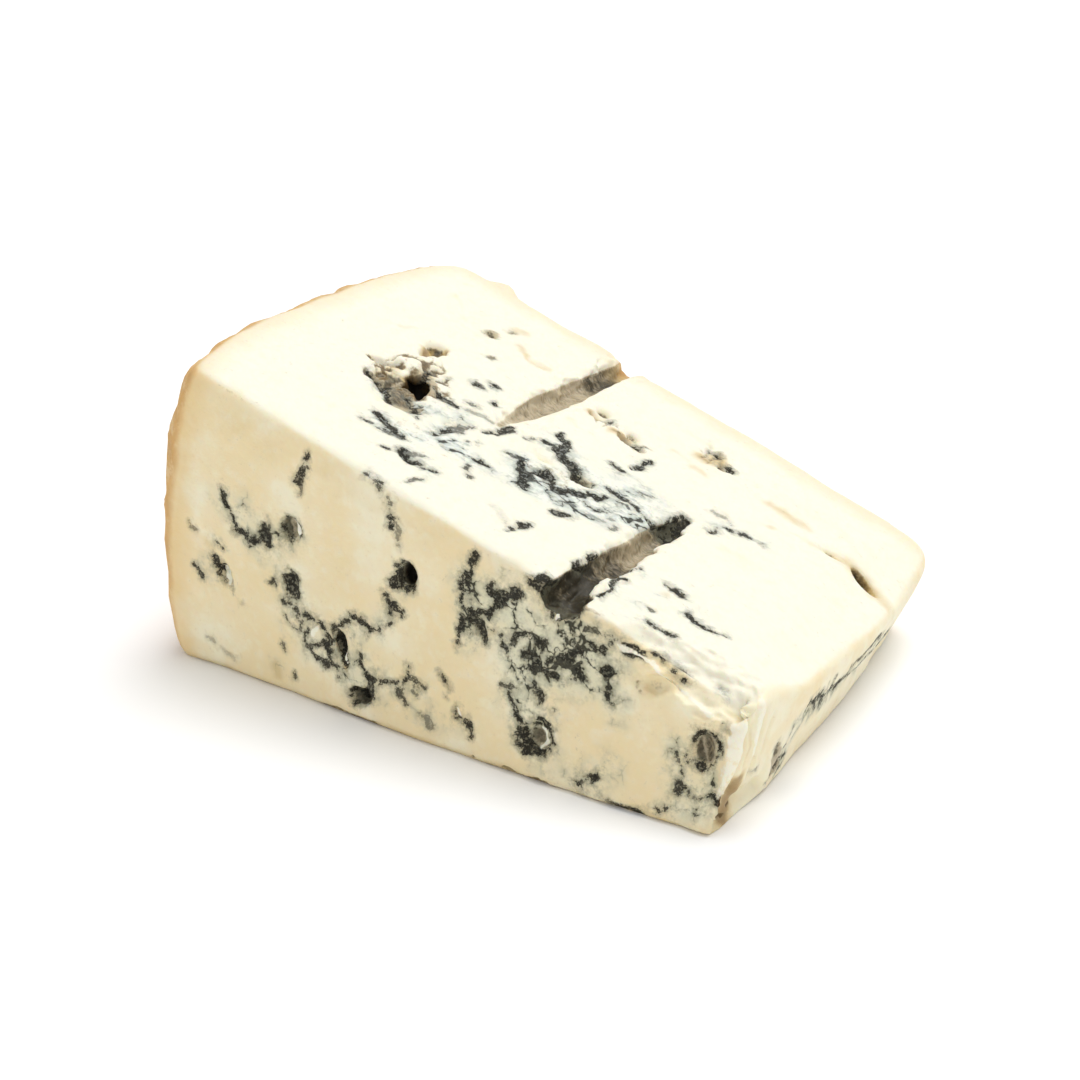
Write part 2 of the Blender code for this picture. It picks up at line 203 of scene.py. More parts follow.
FRONT_MARKS = (
    vein(0.85, (11.7, 34.2, 0.5), (12.1, 31.6, 0.4), (13.3, 30.1, 0.5), (14.0, 28.3, 0.7),
         (14.2, 27.3, 0.8)),
    vein(0.8, (14.2, 27.4, 0.7), (15.4, 27.6, 0.5), (17.3, 26.4, 0.25), (19.5, 26.4, 0.4)),
    vein(0.9, (20.0, 29.3, 0.7), (20.1, 27.6, 0.6), (20.8, 26.1, 0.8)),
    ring(0.75, (25.7, 29.6), (1.5, 1.9), 0.32, (200, 250)),
    vein(1.0, (24.5, 29.4, 0.9), (24.7, 28.2, 0.6)),
    vein(0.5, (4.1, 27.0, 0.25), (4.3, 26.0, 0.25), (5.1, 25.0, 0.2)),
    vein(0.65, (10.0, 23.9, 0.3), (10.9, 23.2, 0.35)),
    vein(1.0, (9.3, 20.6, 0.8), (10.1, 19.5, 0.8), (10.9, 18.7, 0.4), (12.0, 17.4, 0.4),
         (12.6, 15.9, 0.15)),
    vein(0.7, (9.5, 19.2, 0.3), (9.5, 18.2, 0.3), (10.7, 17.1, 0.35), (11.8, 17.2, 0.3)),
    vein(0.75, (4.3, 18.8, 0.35), (5.2, 17.7, 0.4), (5.9, 17.0, 0.5)),
    vein(0.7, (14.5, 13.9, 0.45),),
    vein(0.8, (21.5, 19.4, 0.6),),
    vein(0.95, (24.9, 22.0, 0.7), (25.1, 20.7, 1.5), (25.7, 19.0, 1.1), (26.8, 18.9, 0.3)),
    vein(0.7, (23.5, 17.0, 0.35), (25.5, 16.4, 0.3), (27.0, 15.2, 0.4)),
    vein(0.6, (23.9, 14.0, 0.5), (25.0, 12.9, 0.5), (26.6, 12.7, 0.4), (27.3, 14.3, 0.4),
         (26.0, 15.4, 0.3)),
    vein(0.85, (28.2, 15.5, 0.5), (30.0, 15.1, 0.5), (31.9, 14.1, 0.8), (33.0, 12.5, 0.8),
         (32.4, 11.2, 0.7)),
    vein(0.9, (27.9, 10.2, 0.4), (29.9, 10.4, 0.6), (31.4, 11.4, 0.8), (33.3, 10.2, 0.5), (33.8, 8.6, 0.5)),
    vein(0.7, (28.6, 12.7, 0.3), (27.5, 11.3, 0.3), (28.1, 9.9, 0.4), (30.5, 9.2, 0.5), (33.0, 8.3, 0.6)),
    vein(0.8, (33.2, 8.8, 0.5), (34.6, 7.6, 0.35), (35.3, 6.2, 0.25)),
    vein(1.0, (34.3, 14.6, 0.8), (35.0, 12.8, 1.1), (35.8, 10.6, 0.9), (36.5, 9.3, 0.4)),
    stain_and_shade(0.7, (36.3, 9.4, 0.6), (36.6, 8.4, 0.4)),
    vein(0.85, (35.2, 15.2, 0.4), (37.2, 16.6, 0.7), (38.6, 17.6, 0.8), (39.9, 17.2, 0.5),
         (41.4, 15.8, 0.6)),
    vein(0.75, (41.4, 15.8, 0.55), (43.1, 16.1, 0.45), (44.2, 17.2, 0.3), (45.6, 18.7, 0.3)),
    vein(0.85, (44.2, 23.2, 0.45), (44.7, 21.7, 0.55), (45.8, 20.9, 0.7), (47.4, 20.5, 0.6),
         (46.0, 21.9, 0.3)),
    vein(0.75, (45.8, 25.0, 0.5), (47.0, 25.7, 0.4), (47.8, 26.6, 0.4)),
    vein(1.0, (48.6, 28.4, 1.1), (48.8, 27.0, 1.2), (48.7, 25.9, 0.9)),
    ring(0.7, (48.4, 27.1), (1.7, 2.2), 0.3, (60, 150)),
    vein(0.6, (40.8, 42.5, 0.25), (42.3, 42.2, 0.25), (43.6, 40.5, 0.4), (44.2, 40.1, 0.3)),
    vein(0.5, (45.9, 39.0, 0.4),),
    vein(0.8, (46.3, 36.7, 0.5), (45.6, 35.2, 0.65), (45.5, 34.8, 0.4)),
    vein(0.45, (46.7, 35.8, 0.3), (47.3, 33.7, 0.25), (47.7, 31.5, 0.2)),
    vein(0.7, (30.1, 43.6, 0.45), (29.1, 42.0, 0.5), (27.8, 39.4, 0.7), (27.1, 38.3, 0.5)),
    vein(0.65, (28.0, 37.8, 0.3), (27.9, 36.6, 0.5)),
    vein(0.9, (61.3, 33.1, 0.4), (60.3, 31.0, 0.35), (58.6, 29.5, 0.4), (58.4, 26.8, 0.55),
         (58.9, 24.7, 0.5)),
    vein(0.75, (59.7, 29.6, 0.2), (59.6, 27.0, 0.3), (59.9, 24.8, 0.3), (61.2, 23.6, 0.35),
         (63.1, 24.6, 0.4)),
    vein(0.8, (58.6, 23.1, 0.3), (58.4, 20.6, 0.35), (58.0, 17.9, 0.5)),
    vein(1.0, (61.0, 22.4, 1.0), (62.0, 21.4, 1.5), (62.9, 20.4, 0.8)),
    vein(0.95, (63.1, 24.4, 0.4), (64.3, 25.1, 0.5), (65.2, 26.8, 0.7), (66.3, 28.0, 0.9),
         (68.2, 29.0, 1.3)),
    vein(0.9, (68.2, 29.0, 1.2), (69.6, 29.5, 0.7)),
    vein(0.75, (64.1, 29.6, 0.5), (63.9, 28.0, 0.5)),
    vein(0.7, (63.2, 22.5, 0.35), (65.0, 21.9, 0.4), (66.2, 20.1, 0.4), (67.2, 19.3, 0.5)),
    vein(0.85, (70.9, 31.4, 0.7),),
    vein(1.0, (72.8, 30.9, 0.9), (74.8, 30.2, 1.3), (77.0, 29.6, 1.4), (79.4, 29.9, 0.7)),
    vein(1.0, (74.8, 29.0, 1.0), (75.9, 28.2, 0.9), (77.3, 28.0, 1.0)),
    vein(0.9, (74.2, 26.9, 0.7), (73.8, 28.0, 0.5)),
    felt(1.0, (74.4, 30.4, 4.0), (77.5, 30.0, 4.0)),
    vein(1.0, (72.4, 31.8, 0.9), (74.0, 30.6, 1.4), (75.6, 28.6, 1.2)),
    vein(0.8, (76.0, 26.7, 0.5),),
    vein(0.7, (67.9, 20.9, 0.5), (69.1, 22.2, 0.6), (71.2, 22.9, 0.5), (72.8, 22.6, 0.7),
         (73.1, 21.4, 0.4)),
    vein(0.95, (70.0, 19.5, 0.7), (71.4, 19.3, 1.1), (72.7, 19.0, 0.9)),
    vein(0.9, (72.7, 19.0, 0.8), (74.4, 18.4, 0.7), (75.5, 17.8, 0.8), (76.5, 17.3, 0.4)),
    vein(0.8, (74.6, 19.9, 0.7), (76.2, 20.6, 0.4), (78.2, 21.6, 0.6), (79.5, 22.8, 0.7),
         (79.0, 24.2, 0.3)),
    vein(0.75, (80.0, 22.8, 0.5), (80.1, 21.2, 0.5), (79.6, 19.9, 0.35), (80.4, 18.4, 0.5),
         (81.8, 18.3, 0.3)),
    vein(0.75, (78.2, 17.2, 0.6), (79.4, 18.0, 0.5), (80.4, 18.6, 0.3)),
    vein(0.9, (82.0, 24.0, 0.5), (83.4, 23.9, 0.9), (84.6, 25.1, 0.5)),
    vein(0.6, (80.5, 26.1, 0.35), (82.2, 26.4, 0.3), (84.0, 26.2, 0.25)),
    vein(1.0, (84.8, 20.7, 0.7), (84.3, 20.0, 0.7)),
    vein(0.9, (85.0, 17.9, 0.3), (85.3, 17.0, 0.5), (85.9, 16.0, 0.5)),
    vein(0.8, (71.5, 17.6, 0.4), (71.8, 16.2, 0.5), (72.2, 15.0, 0.3), (73.2, 13.8, 0.7),
         (73.8, 12.8, 0.5)),
    vein(0.6, (66.4, 13.8, 0.3), (68.9, 13.8, 0.3)),
    vein(0.9, (67.6, 12.3, 0.35), (68.8, 10.9, 0.6), (69.8, 10.0, 0.8), (70.5, 8.9, 0.5), (70.6, 7.4, 0.6)),
    vein(0.95, (70.5, 7.6, 0.7), (70.8, 6.3, 1.1), (71.9, 4.9, 0.8)),
    ring(0.9, (73.5, 7.3), (2.4, 2.6), 0.5, (80, 110)),
    vein(1.0, (73.0, 8.2, 1.0),),
    vein(0.55, (75.9, 12.2, 0.35),),
    vein(1.0, (38.5, 4.6, 1.1), (40.0, 4.5, 1.7), (41.3, 4.9, 1.0), (38.8, 3.0, 0.8)),
    vein(0.9, (39.3, 11.6, 0.25), (40.3, 9.6, 0.4), (41.3, 8.0, 0.6), (42.2, 6.8, 0.9), (41.5, 5.4, 0.9)),
    vein(0.75, (42.8, 7.6, 0.7), (45.0, 8.1, 0.45), (47.0, 8.9, 0.4), (48.8, 10.4, 0.5), (49.2, 11.8, 0.4)),
    vein(0.6, (48.8, 10.2, 0.5), (50.5, 9.9, 0.6), (52.0, 9.7, 0.4)),
    vein(0.6, (46.6, 8.4, 0.3), (48.2, 6.4, 0.5), (49.2, 5.4, 0.3)),
    vein(0.5, (50.0, 8.6, 0.5), (51.0, 8.2, 0.5)),
    vein(0.85, (54.8, 12.6, 0.35), (56.2, 11.3, 0.35), (57.2, 10.5, 0.3)),
    vein(0.6, (56.8, 8.7, 0.35),),
    vein(0.8, (58.8, 8.2, 0.25), (58.0, 6.9, 0.3), (58.5, 6.0, 0.3), (60.0, 5.7, 0.25)),
    vein(0.8, (60.8, 5.9, 0.8), (61.9, 4.6, 0.6)),
    vein(0.45, (52.0, 4.6, 0.3), (53.6, 3.6, 0.6)),
    vein(0.35, (6.1, 5.1, 0.3), (7.2, 5.2, 0.3)),
    vein(0.3, (8.7, 4.2, 0.3), (12.4, 3.0, 0.5)),
    vein(0.55, (23.2, 9.2, 0.3), (23.5, 8.1, 0.45)),
    vein(0.65, (25.2, 4.3, 0.35), (25.5, 3.3, 0.6)),
    vein(0.8, (82.0, 1.6, 0.9), (82.4, 3.0, 0.4), (83.5, 3.9, 0.5), (84.3, 4.4, 0.4)),
    vein(0.45, (85.2, 2.0, 0.25), (86.4, 0.8, 0.3)),
    vein(0.8, (89.0, 0.3, 0.5), (92.3, 0.5, 0.6)),
    vein(0.65, (94.6, 1.3, 0.45), (95.2, 1.9, 0.3), (96.7, 3.0, 0.25)),
    vein(0.65, (96.7, 10.6, 0.4), (97.8, 9.4, 0.5), (98.1, 8.0, 0.35), (97.5, 6.2, 0.5), (97.3, 5.4, 0.5)),
    vein(0.7, (98.3, 11.4, 0.5), (98.9, 10.4, 0.5)),
    vein(0.95, (97.8, 6.5, 0.25), (99.6, 6.2, 0.35), (101.5, 5.6, 0.35), (102.9, 6.1, 0.5),
         (104.4, 5.8, 0.6)),
    ring(0.95, (101.2, 12.9), (1.7, 2.9), 0.42, (15, 40)),
    lining(0.75, (101.1, 14.2, 1.0), (101.3, 12.0, 1.1)),
    vein(0.75, (84.4, 26.0, 0.3), (86.6, 25.6, 0.45), (88.5, 25.6, 0.35), (92.3, 25.4, 0.4)),
    vein(0.9, (86.7, 24.7, 0.4), (89.8, 24.2, 0.5)),
    vein(0.85, (94.2, 24.0, 0.6), (95.2, 23.7, 0.6), (96.4, 23.4, 0.25)),
    smoke(0.55, (10.8, 32.6, 2.0), (13.5, 29.0, 1.8), (16.5, 27.0, 1.6), (20.4, 27.6, 1.8),
          (25.6, 29.5, 3.4)),
    smoke(0.35, (16.0, 32.5, 3.0), (19.0, 24.5, 3.0)),
    smoke(0.45, (24.5, 20.5, 3.2), (26.0, 15.5, 4.0), (29.0, 12.0, 4.5), (33.0, 11.0, 4.0),
          (38.0, 9.0, 4.0)),
    smoke(0.45, (38.0, 16.0, 2.5), (43.0, 16.8, 2.0), (45.6, 21.5, 2.0), (48.3, 27.2, 2.6)),
    smoke(0.4, (40.0, 7.0, 4.0), (46.0, 7.5, 3.4), (51.0, 8.5, 3.0)),
    smoke(0.5, (59.0, 30.5, 2.2), (59.5, 25.0, 2.6), (60.0, 20.0, 3.0)),
    smoke(0.75, (63.0, 25.5, 3.5), (68.0, 26.0, 5.0), (72.0, 22.5, 5.5), (77.0, 23.0, 5.5),
          (82.5, 22.5, 4.5)),
    smoke(0.6, (71.0, 17.0, 4.0), (76.0, 18.0, 3.6), (84.5, 18.0, 3.0), (87.0, 15.0, 2.4)),
    smoke(0.5, (69.0, 12.0, 3.0), (73.0, 8.0, 4.6)),
    smoke(0.45, (76.0, 1.5, 2.0), (82.0, 2.0, 3.5), (86.0, 6.0, 3.0), (84.0, 3.0, 3.0)),
    smoke(0.55, (97.0, 11.5, 2.5), (98.5, 7.0, 3.6), (102.5, 6.0, 3.0), (99.0, 2.5, 3.5)),
    smoke(0.3, (21.0, 4.5, 2.4),),
    smoke(0.3, (53.0, 4.0, 2.4), (61.0, 5.5, 2.2)),
    # Grey-green line in the crease left of the corner lobe: painted shade.
    smoke(0.4, (103.7, 18.0, 0.7), (102.8, 10.0, 0.7), (102.3, 7.0, 0.7)),
    smoke(0.35, (8.5, 18.0, 3.0), (4.8, 18.0, 1.6), (9.5, 24.0, 2.0)),
    stain_and_shade(0.5, (58.6, 7.4, 0.8), (59.2, 6.7, 0.6)),
    stain_and_shade(0.55, (21.0, 4.4, 1.2), (21.6, 2.6, 1.2)),
    stain_and_shade(0.35, (7.5, 23.6, 0.8), (9.0, 21.6, 0.8)),
    stain_and_shade(0.4, (36.4, 8.9, 0.8),),
    # Orange-brown stain and brown crack under the ledge of the shell pocket: painted shadow.
    stain_and_shade(0.35, (89.4, 20.4, 0.5), (90.6, 18.9, 0.8), (92.6, 18.9, 0.7), (95.2, 20.4, 0.4)),
    crack(0.3, (88.9, 20.4, 0.25), (89.5, 19.5, 0.3), (90.2, 18.5, 0.3)),
    crumb_and_light(1.0, (26.3, 30.9, 0.4), (26.8, 29.9, 0.6), (26.2, 28.6, 0.5)),
    lining(0.6, (25.6, 30.2, 1.0), (25.8, 29.0, 1.0)),
    crumb_and_light(1.0, (10.3, 19.4, 0.2), (10.9, 18.2, 0.4), (11.8, 16.9, 0.2)),
    crumb_and_light(0.9, (35.6, 13.4, 0.2), (36.5, 11.4, 0.35), (37.0, 9.4, 0.2)),
    crumb_and_light(1.0, (75.0, 27.6, 0.4), (75.2, 26.9, 0.5)),
    crumb_and_light(0.8, (59.0, 7.6, 0.3), (59.2, 6.6, 0.45)),
    crumb_and_light(0.8, (74.3, 8.6, 0.35), (74.9, 7.0, 0.5), (74.0, 5.6, 0.4)),
    crumb_and_light(0.7, (29.6, 12.6, 0.5), (30.8, 13.6, 0.4)),
    # Pale body of the corner lobe: painted light over a slight real rise.
    crumb_and_light(0.5, (105.2, 18.4, 1.3), (105.2, 14.0, 1.1), (104.6, 9.0, 0.8), (103.8, 6.0, 0.5)),
    crumb_and_light(0.5, (86.0, 25.4, 0.5), (91.0, 24.0, 0.5), (93.2, 21.8, 0.5), (97.0, 21.2, 0.5),
          (101.4, 18.6, 0.7)),
    stain_and_shade(0.25, (10.0, 46.5, 5.0), (26.0, 43.5, 3.0), (44.0, 38.0, 2.6), (58.0, 33.5, 2.4),
          (68.0, 33.0, 2.0)),
    # Brown line along the foot of the front cut: painted contact shade.
    stain_and_shade(0.85, (104.0, 0.0, 0.5), (70.0, 0.0, 0.8), (40.0, 0.0, 0.9), (12.0, 0.0, 0.8), (1.0, 0.4, 1.0)),
    crack(0.5, (30.0, 0.2, 0.3), (38.0, 0.2, 0.5), (46.0, 0.1, 0.3)),
    crack(0.5, (62.0, 0.1, 0.4), (70.0, 0.2, 0.3), (78.0, 0.1, 0.4)),
)

TOP_MARKS = (
    vein(0.95, (23.0, 25.9, 0.6), (25.5, 24.2, 0.7), (28.9, 22.9, 0.6), (30.6, 21.9, 0.5)),
    crack(1.0, (28.3, 31.8, 1.4), (29.6, 30.2, 1.6), (31.0, 28.6, 1.0), (32.4, 26.8, 0.4)),
    # Khaki stain beside the deepest hollow of the crag, partly painted shade.
    stain_and_shade(0.9, (26.9, 30.6, 0.7), (27.6, 32.4, 0.8), (28.7, 33.8, 0.8)),
    lining(0.72, (27.8, 28.6, 1.5), (29.0, 26.4, 2.4), (30.6, 24.6, 2.2), (32.0, 24.4, 1.4)),
    lining(0.55, (24.0, 26.4, 0.9), (25.4, 25.0, 1.2), (26.6, 24.6, 1.2)),
    lining(0.5, (30.6, 22.0, 1.0), (32.6, 22.2, 1.1), (34.2, 23.6, 0.9)),
    lining(0.42, (30.6, 32.6, 1.2), (31.8, 30.6, 1.6), (33.0, 29.4, 1.2)),
    stain_and_shade(0.45, (31.0, 32.0, 1.4), (32.4, 30.2, 1.6)),
    vein(0.75, (25.4, 26.2, 0.3), (26.4, 25.0, 0.35), (27.8, 23.8, 0.6), (29.3, 22.9, 0.45),
         (30.6, 22.4, 0.2)),
    vein(0.9, (31.7, 25.2, 0.5),),
    vein(0.7, (33.9, 24.1, 0.4), (34.6, 23.2, 0.4), (36.4, 20.9, 0.2)),
    crack(0.75, (19.8, 29.6, 0.3), (21.5, 30.0, 0.5), (23.2, 31.2, 0.9), (24.6, 32.0, 0.8)),
    crack(0.6, (23.0, 25.6, 0.9), (24.2, 24.9, 0.9), (25.4, 24.0, 0.6)),
    crack(0.7, (26.9, 35.8, 0.3), (28.0, 35.1, 0.5), (29.7, 35.7, 0.5)),
    crack(0.5, (30.8, 34.2, 0.3), (31.5, 34.7, 0.4), (31.9, 36.2, 0.3)),
    crack(0.55, (31.8, 31.9, 0.4), (32.6, 31.4, 0.4)),
    # Brown in the deep hollow behind the crag: partly painted shade.
    stain_and_shade(1.0, (25.1, 39.9, 0.6), (24.9, 41.2, 1.5), (24.9, 42.9, 1.5), (25.4, 44.4, 0.8)),
    stain_and_shade(1.0, (24.6, 41.6, 1.4), (24.9, 42.9, 1.4)),
    crack(0.4, (25.2, 39.6, 0.3), (26.0, 41.2, 0.4)),
    vein(0.9, (34.3, 22.6, 0.6), (35.7, 22.9, 0.4)),
    vein(0.7, (25.3, 29.6, 0.4), (26.2, 28.2, 0.4), (27.2, 28.8, 0.4)),
    vein(0.85, (28.6, 35.6, 0.35), (28.4, 34.2, 0.6), (29.4, 33.0, 0.5)),
    vein(0.35, (31.2, 34.7, 0.3), (32.0, 36.9, 0.3)),
    vein(0.85, (34.1, 40.3, 0.35), (35.3, 39.9, 0.7), (36.1, 39.8, 0.5)),
    vein(0.8, (35.9, 42.9, 0.3), (37.0, 42.9, 0.55), (37.8, 43.0, 0.4)),
    vein(0.95, (32.2, 31.0, 0.5), (34.2, 30.2, 0.7), (35.7, 30.4, 0.8), (37.4, 30.4, 0.5)),
    vein(0.55, (37.6, 33.1, 0.5), (39.3, 33.7, 0.5)),
    vein(0.85, (40.7, 38.0, 0.5),),
    vein(0.4, (39.4, 31.4, 0.5), (41.5, 31.8, 0.6), (43.5, 32.0, 0.4)),
    vein(0.75, (31.3, 12.7, 0.4), (32.5, 12.5, 0.45)),
    vein(0.55, (34.4, 12.2, 0.35), (36.8, 12.9, 0.35), (38.4, 13.3, 0.3)),
    vein(0.9, (31.9, 15.9, 0.4), (34.0, 14.9, 0.6), (35.4, 14.2, 0.8), (38.3, 13.9, 0.45)),
    vein(1.0, (40.3, 20.0, 0.6), (41.1, 21.4, 0.9), (41.3, 22.6, 0.6)),
    vein(0.55, (41.4, 23.7, 1.0), (41.6, 26.0, 1.2), (42.6, 26.8, 0.8)),
    vein(0.75, (39.0, 8.2, 0.5),),
    vein(1.0, (41.0, 9.8, 0.9), (43.1, 8.8, 0.9), (44.2, 9.4, 0.6), (46.3, 9.2, 0.4), (47.6, 10.2, 0.35)),
    vein(0.5, (41.5, 10.4, 0.25), (44.0, 12.0, 0.25)),
    vein(0.55, (46.9, 3.4, 0.4), (47.2, 5.0, 0.45), (47.4, 6.3, 0.3)),
    vein(0.95, (48.3, 19.3, 0.4), (49.3, 19.5, 0.8), (50.7, 19.6, 0.5)),
    vein(0.6, (48.9, 16.6, 0.3), (49.3, 15.2, 0.3), (51.6, 14.0, 0.3)),
    vein(0.5, (45.2, 22.7, 0.3),),
    vein(0.5, (46.3, 24.0, 0.3),),
    vein(0.8, (44.8, 27.6, 0.45), (45.6, 29.4, 0.5), (46.4, 31.8, 0.8), (46.2, 34.4, 0.5)),
    vein(0.95, (51.1, 35.6, 0.8), (52.0, 35.6, 0.6), (53.2, 36.0, 0.4)),
    vein(0.5, (49.0, 33.0, 0.25), (50.4, 34.8, 0.3)),
    vein(0.95, (52.0, 40.4, 0.4), (52.4, 39.4, 0.9), (53.7, 38.6, 0.8)),
    vein(0.75, (53.9, 38.7, 1.0), (54.6, 36.8, 1.1), (54.2, 35.0, 0.8)),
    vein(0.95, (54.0, 34.9, 0.6), (55.9, 34.2, 1.1), (57.6, 34.1, 1.2), (59.1, 33.1, 0.8),
         (60.6, 31.6, 0.9)),
    vein(1.0, (60.7, 31.1, 1.2), (62.0, 31.3, 1.4), (62.9, 32.4, 0.5)),
    vein(0.6, (50.3, 25.9, 0.3), (51.5, 26.0, 0.4), (52.6, 26.5, 0.4)),
    vein(1.0, (53.5, 25.7, 0.7), (54.9, 24.2, 1.0), (55.7, 26.1, 1.0), (56.8, 26.6, 1.1),
         (58.0, 27.0, 0.8)),
    vein(1.0, (58.0, 27.0, 0.7), (59.4, 25.0, 0.8), (60.9, 24.2, 1.0), (61.9, 25.4, 0.6)),
    vein(0.9, (61.8, 25.5, 0.6), (63.0, 26.1, 1.0), (63.9, 27.2, 1.2), (64.6, 29.2, 0.9)),
    vein(0.95, (64.6, 29.0, 0.7), (66.3, 28.9, 0.8), (66.5, 30.8, 0.35)),
    vein(0.85, (54.6, 24.2, 0.8), (56.0, 21.6, 0.8), (56.9, 20.2, 0.9), (57.9, 19.4, 0.5)),
    vein(0.6, (56.2, 22.6, 0.5), (57.4, 23.8, 0.4), (58.6, 24.4, 0.3)),
    vein(0.5, (60.4, 21.8, 0.4), (61.9, 21.2, 0.4), (63.1, 21.7, 0.35), (64.6, 23.2, 0.35)),
    vein(0.85, (65.4, 25.4, 0.5), (66.4, 25.0, 0.6), (67.9, 25.5, 0.6)),
    vein(0.4, (67.6, 22.8, 0.5), (69.4, 23.4, 0.6), (70.6, 24.9, 0.5)),
    vein(0.9, (64.9, 33.6, 0.3), (66.6, 33.1, 0.6), (68.2, 33.3, 0.8), (69.5, 33.0, 0.55),
         (70.9, 32.4, 0.7)),
    vein(0.75, (70.9, 32.4, 0.6), (71.9, 31.7, 0.4)),
    vein(0.6, (68.6, 31.4, 0.3), (70.2, 30.9, 0.4)),
    vein(0.75, (72.4, 31.4, 0.35), (74.1, 31.3, 0.6), (75.2, 31.6, 0.3)),
    vein(0.5, (68.1, 37.9, 0.45), (69.6, 37.8, 0.5), (71.0, 38.2, 0.35)),
    vein(0.8, (61.3, 41.6, 0.5), (62.4, 41.0, 0.35), (63.6, 40.8, 0.45)),
    vein(0.9, (63.6, 44.0, 0.55), (64.2, 45.4, 0.6), (64.4, 47.2, 0.3), (64.4, 49.2, 0.35)),
    vein(0.75, (52.3, 53.2, 0.8), (53.6, 53.9, 1.0)),
    vein(0.95, (58.9, 51.6, 0.9), (60.3, 51.2, 1.2), (61.2, 50.7, 0.7)),
    vein(0.9, (63.8, 17.5, 0.4), (64.8, 18.1, 0.8), (65.6, 18.5, 0.7), (66.6, 19.1, 0.35)),
    vein(0.35, (58.1, 10.2, 0.3), (59.4, 9.7, 0.35), (61.4, 8.3, 0.35)),
    vein(0.8, (63.0, 6.0, 0.5), (63.3, 7.4, 0.3), (63.4, 9.7, 0.35), (64.0, 10.8, 0.45)),
    vein(0.5, (71.9, 24.0, 0.5), (72.4, 22.4, 0.4)),
    vein(0.8, (82.7, 42.3, 0.35), (83.9, 42.7, 0.45), (85.0, 43.5, 0.7), (86.3, 44.0, 0.45),
         (88.0, 44.2, 0.35)),
    vein(0.85, (81.2, 38.1, 0.6), (81.8, 39.0, 0.8), (81.6, 40.3, 0.3)),
    vein(0.4, (78.4, 45.0, 0.3), (80.9, 44.8, 0.35), (82.2, 44.3, 0.3)),
    vein(0.85, (84.9, 17.0, 0.35), (86.3, 16.7, 0.7), (88.0, 16.2, 0.55)),
    vein(0.9, (91.1, 12.9, 0.55), (92.7, 12.2, 0.7), (94.0, 12.2, 0.5), (96.8, 13.0, 0.25)),
    vein(0.55, (86.8, 8.3, 0.45),),
    vein(0.85, (88.1, 5.1, 0.35), (90.1, 4.9, 0.45), (92.3, 5.3, 0.6)),
    vein(0.3, (100.8, 0.9, 0.4), (102.4, 1.0, 0.3)),
    vein(0.7, (80.2, 17.0, 0.4),),
    vein(0.95, (77.9, 23.1, 0.5), (79.0, 23.0, 0.3), (79.4, 24.4, 0.25)),
    vein(0.75, (79.2, 5.0, 0.35), (79.3, 9.0, 0.45), (79.2, 13.0, 0.3), (79.3, 16.0, 0.3)),
    vein(0.75, (74.2, 8.6, 0.3), (74.4, 12.0, 0.4), (74.2, 14.0, 0.25)),
    vein(0.9, (68.9, 65.2, 0.8), (69.5, 64.2, 0.9)),
    vein(0.75, (72.1, 61.1, 0.7), (73.4, 61.8, 0.9)),
    vein(0.55, (25.9, 58.4, 0.7), (26.6, 58.0, 0.5)),
    vein(0.45, (31.0, 51.2, 0.6),),
    vein(0.45, (27.4, 62.9, 0.5),),
    smoke(0.5, (25.0, 25.0, 2.5), (31.0, 24.0, 4.0), (36.0, 25.0, 3.0), (40.0, 29.0, 2.6)),
    smoke(0.6, (33.0, 14.5, 2.2), (37.0, 14.5, 2.4), (40.2, 16.8, 3.0), (42.0, 21.0, 3.0),
          (44.5, 19.0, 2.6)),
    smoke(0.35, (42.0, 10.0, 2.5), (47.0, 9.0, 2.4)),
    smoke(0.45, (46.5, 18.5, 2.6), (50.5, 18.5, 3.0), (54.0, 20.5, 3.4), (58.5, 21.5, 3.6),
          (64.0, 22.5, 3.4)),
    smoke(0.6, (53.0, 27.0, 3.0), (58.5, 24.0, 3.4), (64.0, 26.0, 3.8), (69.0, 25.0, 4.0),
          (72.0, 28.0, 4.0)),
    smoke(0.5, (52.0, 37.0, 3.0), (56.0, 35.5, 3.5), (61.5, 33.0, 3.8), (68.0, 34.0, 4.0),
          (73.0, 33.0, 3.6)),
    smoke(0.35, (66.0, 38.5, 2.6), (72.0, 38.5, 3.0), (62.5, 42.0, 2.6), (64.3, 47.0, 2.4)),
    smoke(0.35, (79.0, 41.0, 2.0), (83.0, 42.0, 3.0), (88.0, 44.5, 2.4)),
    smoke(0.3, (82.0, 15.0, 3.0), (86.0, 14.5, 3.5), (92.5, 13.0, 3.2), (96.0, 13.0, 2.2)),
    smoke(0.25, (82.0, 8.0, 3.0), (88.0, 6.0, 2.6), (93.0, 4.0, 1.6)),
    smoke(0.3, (100.8, 0.9, 0.8), (102.4, 1.0, 0.6)),
    smoke(0.25, (40.0, 36.0, 3.0), (36.0, 41.0, 2.2)),
    # Khaki and brown in and round the broken hollows of the top: where they lie in a hollow they are partly
    # painted shade.
    stain_and_shade(0.75, (21.4, 29.9, 0.8), (24.4, 31.0, 1.0)),
    stain_and_shade(0.4, (22.8, 41.6, 1.0), (23.8, 44.0, 1.0)),
    stain_and_shade(0.9, (50.4, 53.4, 1.3), (52.4, 53.2, 1.4)),
    stain_and_shade(0.9, (55.8, 51.6, 1.1), (57.4, 52.0, 1.4), (60.8, 50.8, 1.2)),
    stain_and_shade(0.8, (68.6, 60.3, 1.5), (70.6, 60.6, 0.9), (69.4, 64.6, 1.5), (72.4, 61.2, 1.0)),
    stain_and_shade(0.55, (69.6, 55.4, 1.3), (71.6, 55.4, 0.8)),
    stain_and_shade(0.3, (64.6, 57.0, 0.7), (67.6, 57.2, 0.8)),
    stain_and_shade(0.7, (26.0, 58.5, 1.1),),
    stain_and_shade(0.6, (31.0, 51.2, 0.9),),
    stain_and_shade(0.55, (27.4, 63.0, 0.8), (28.4, 65.0, 1.3)),
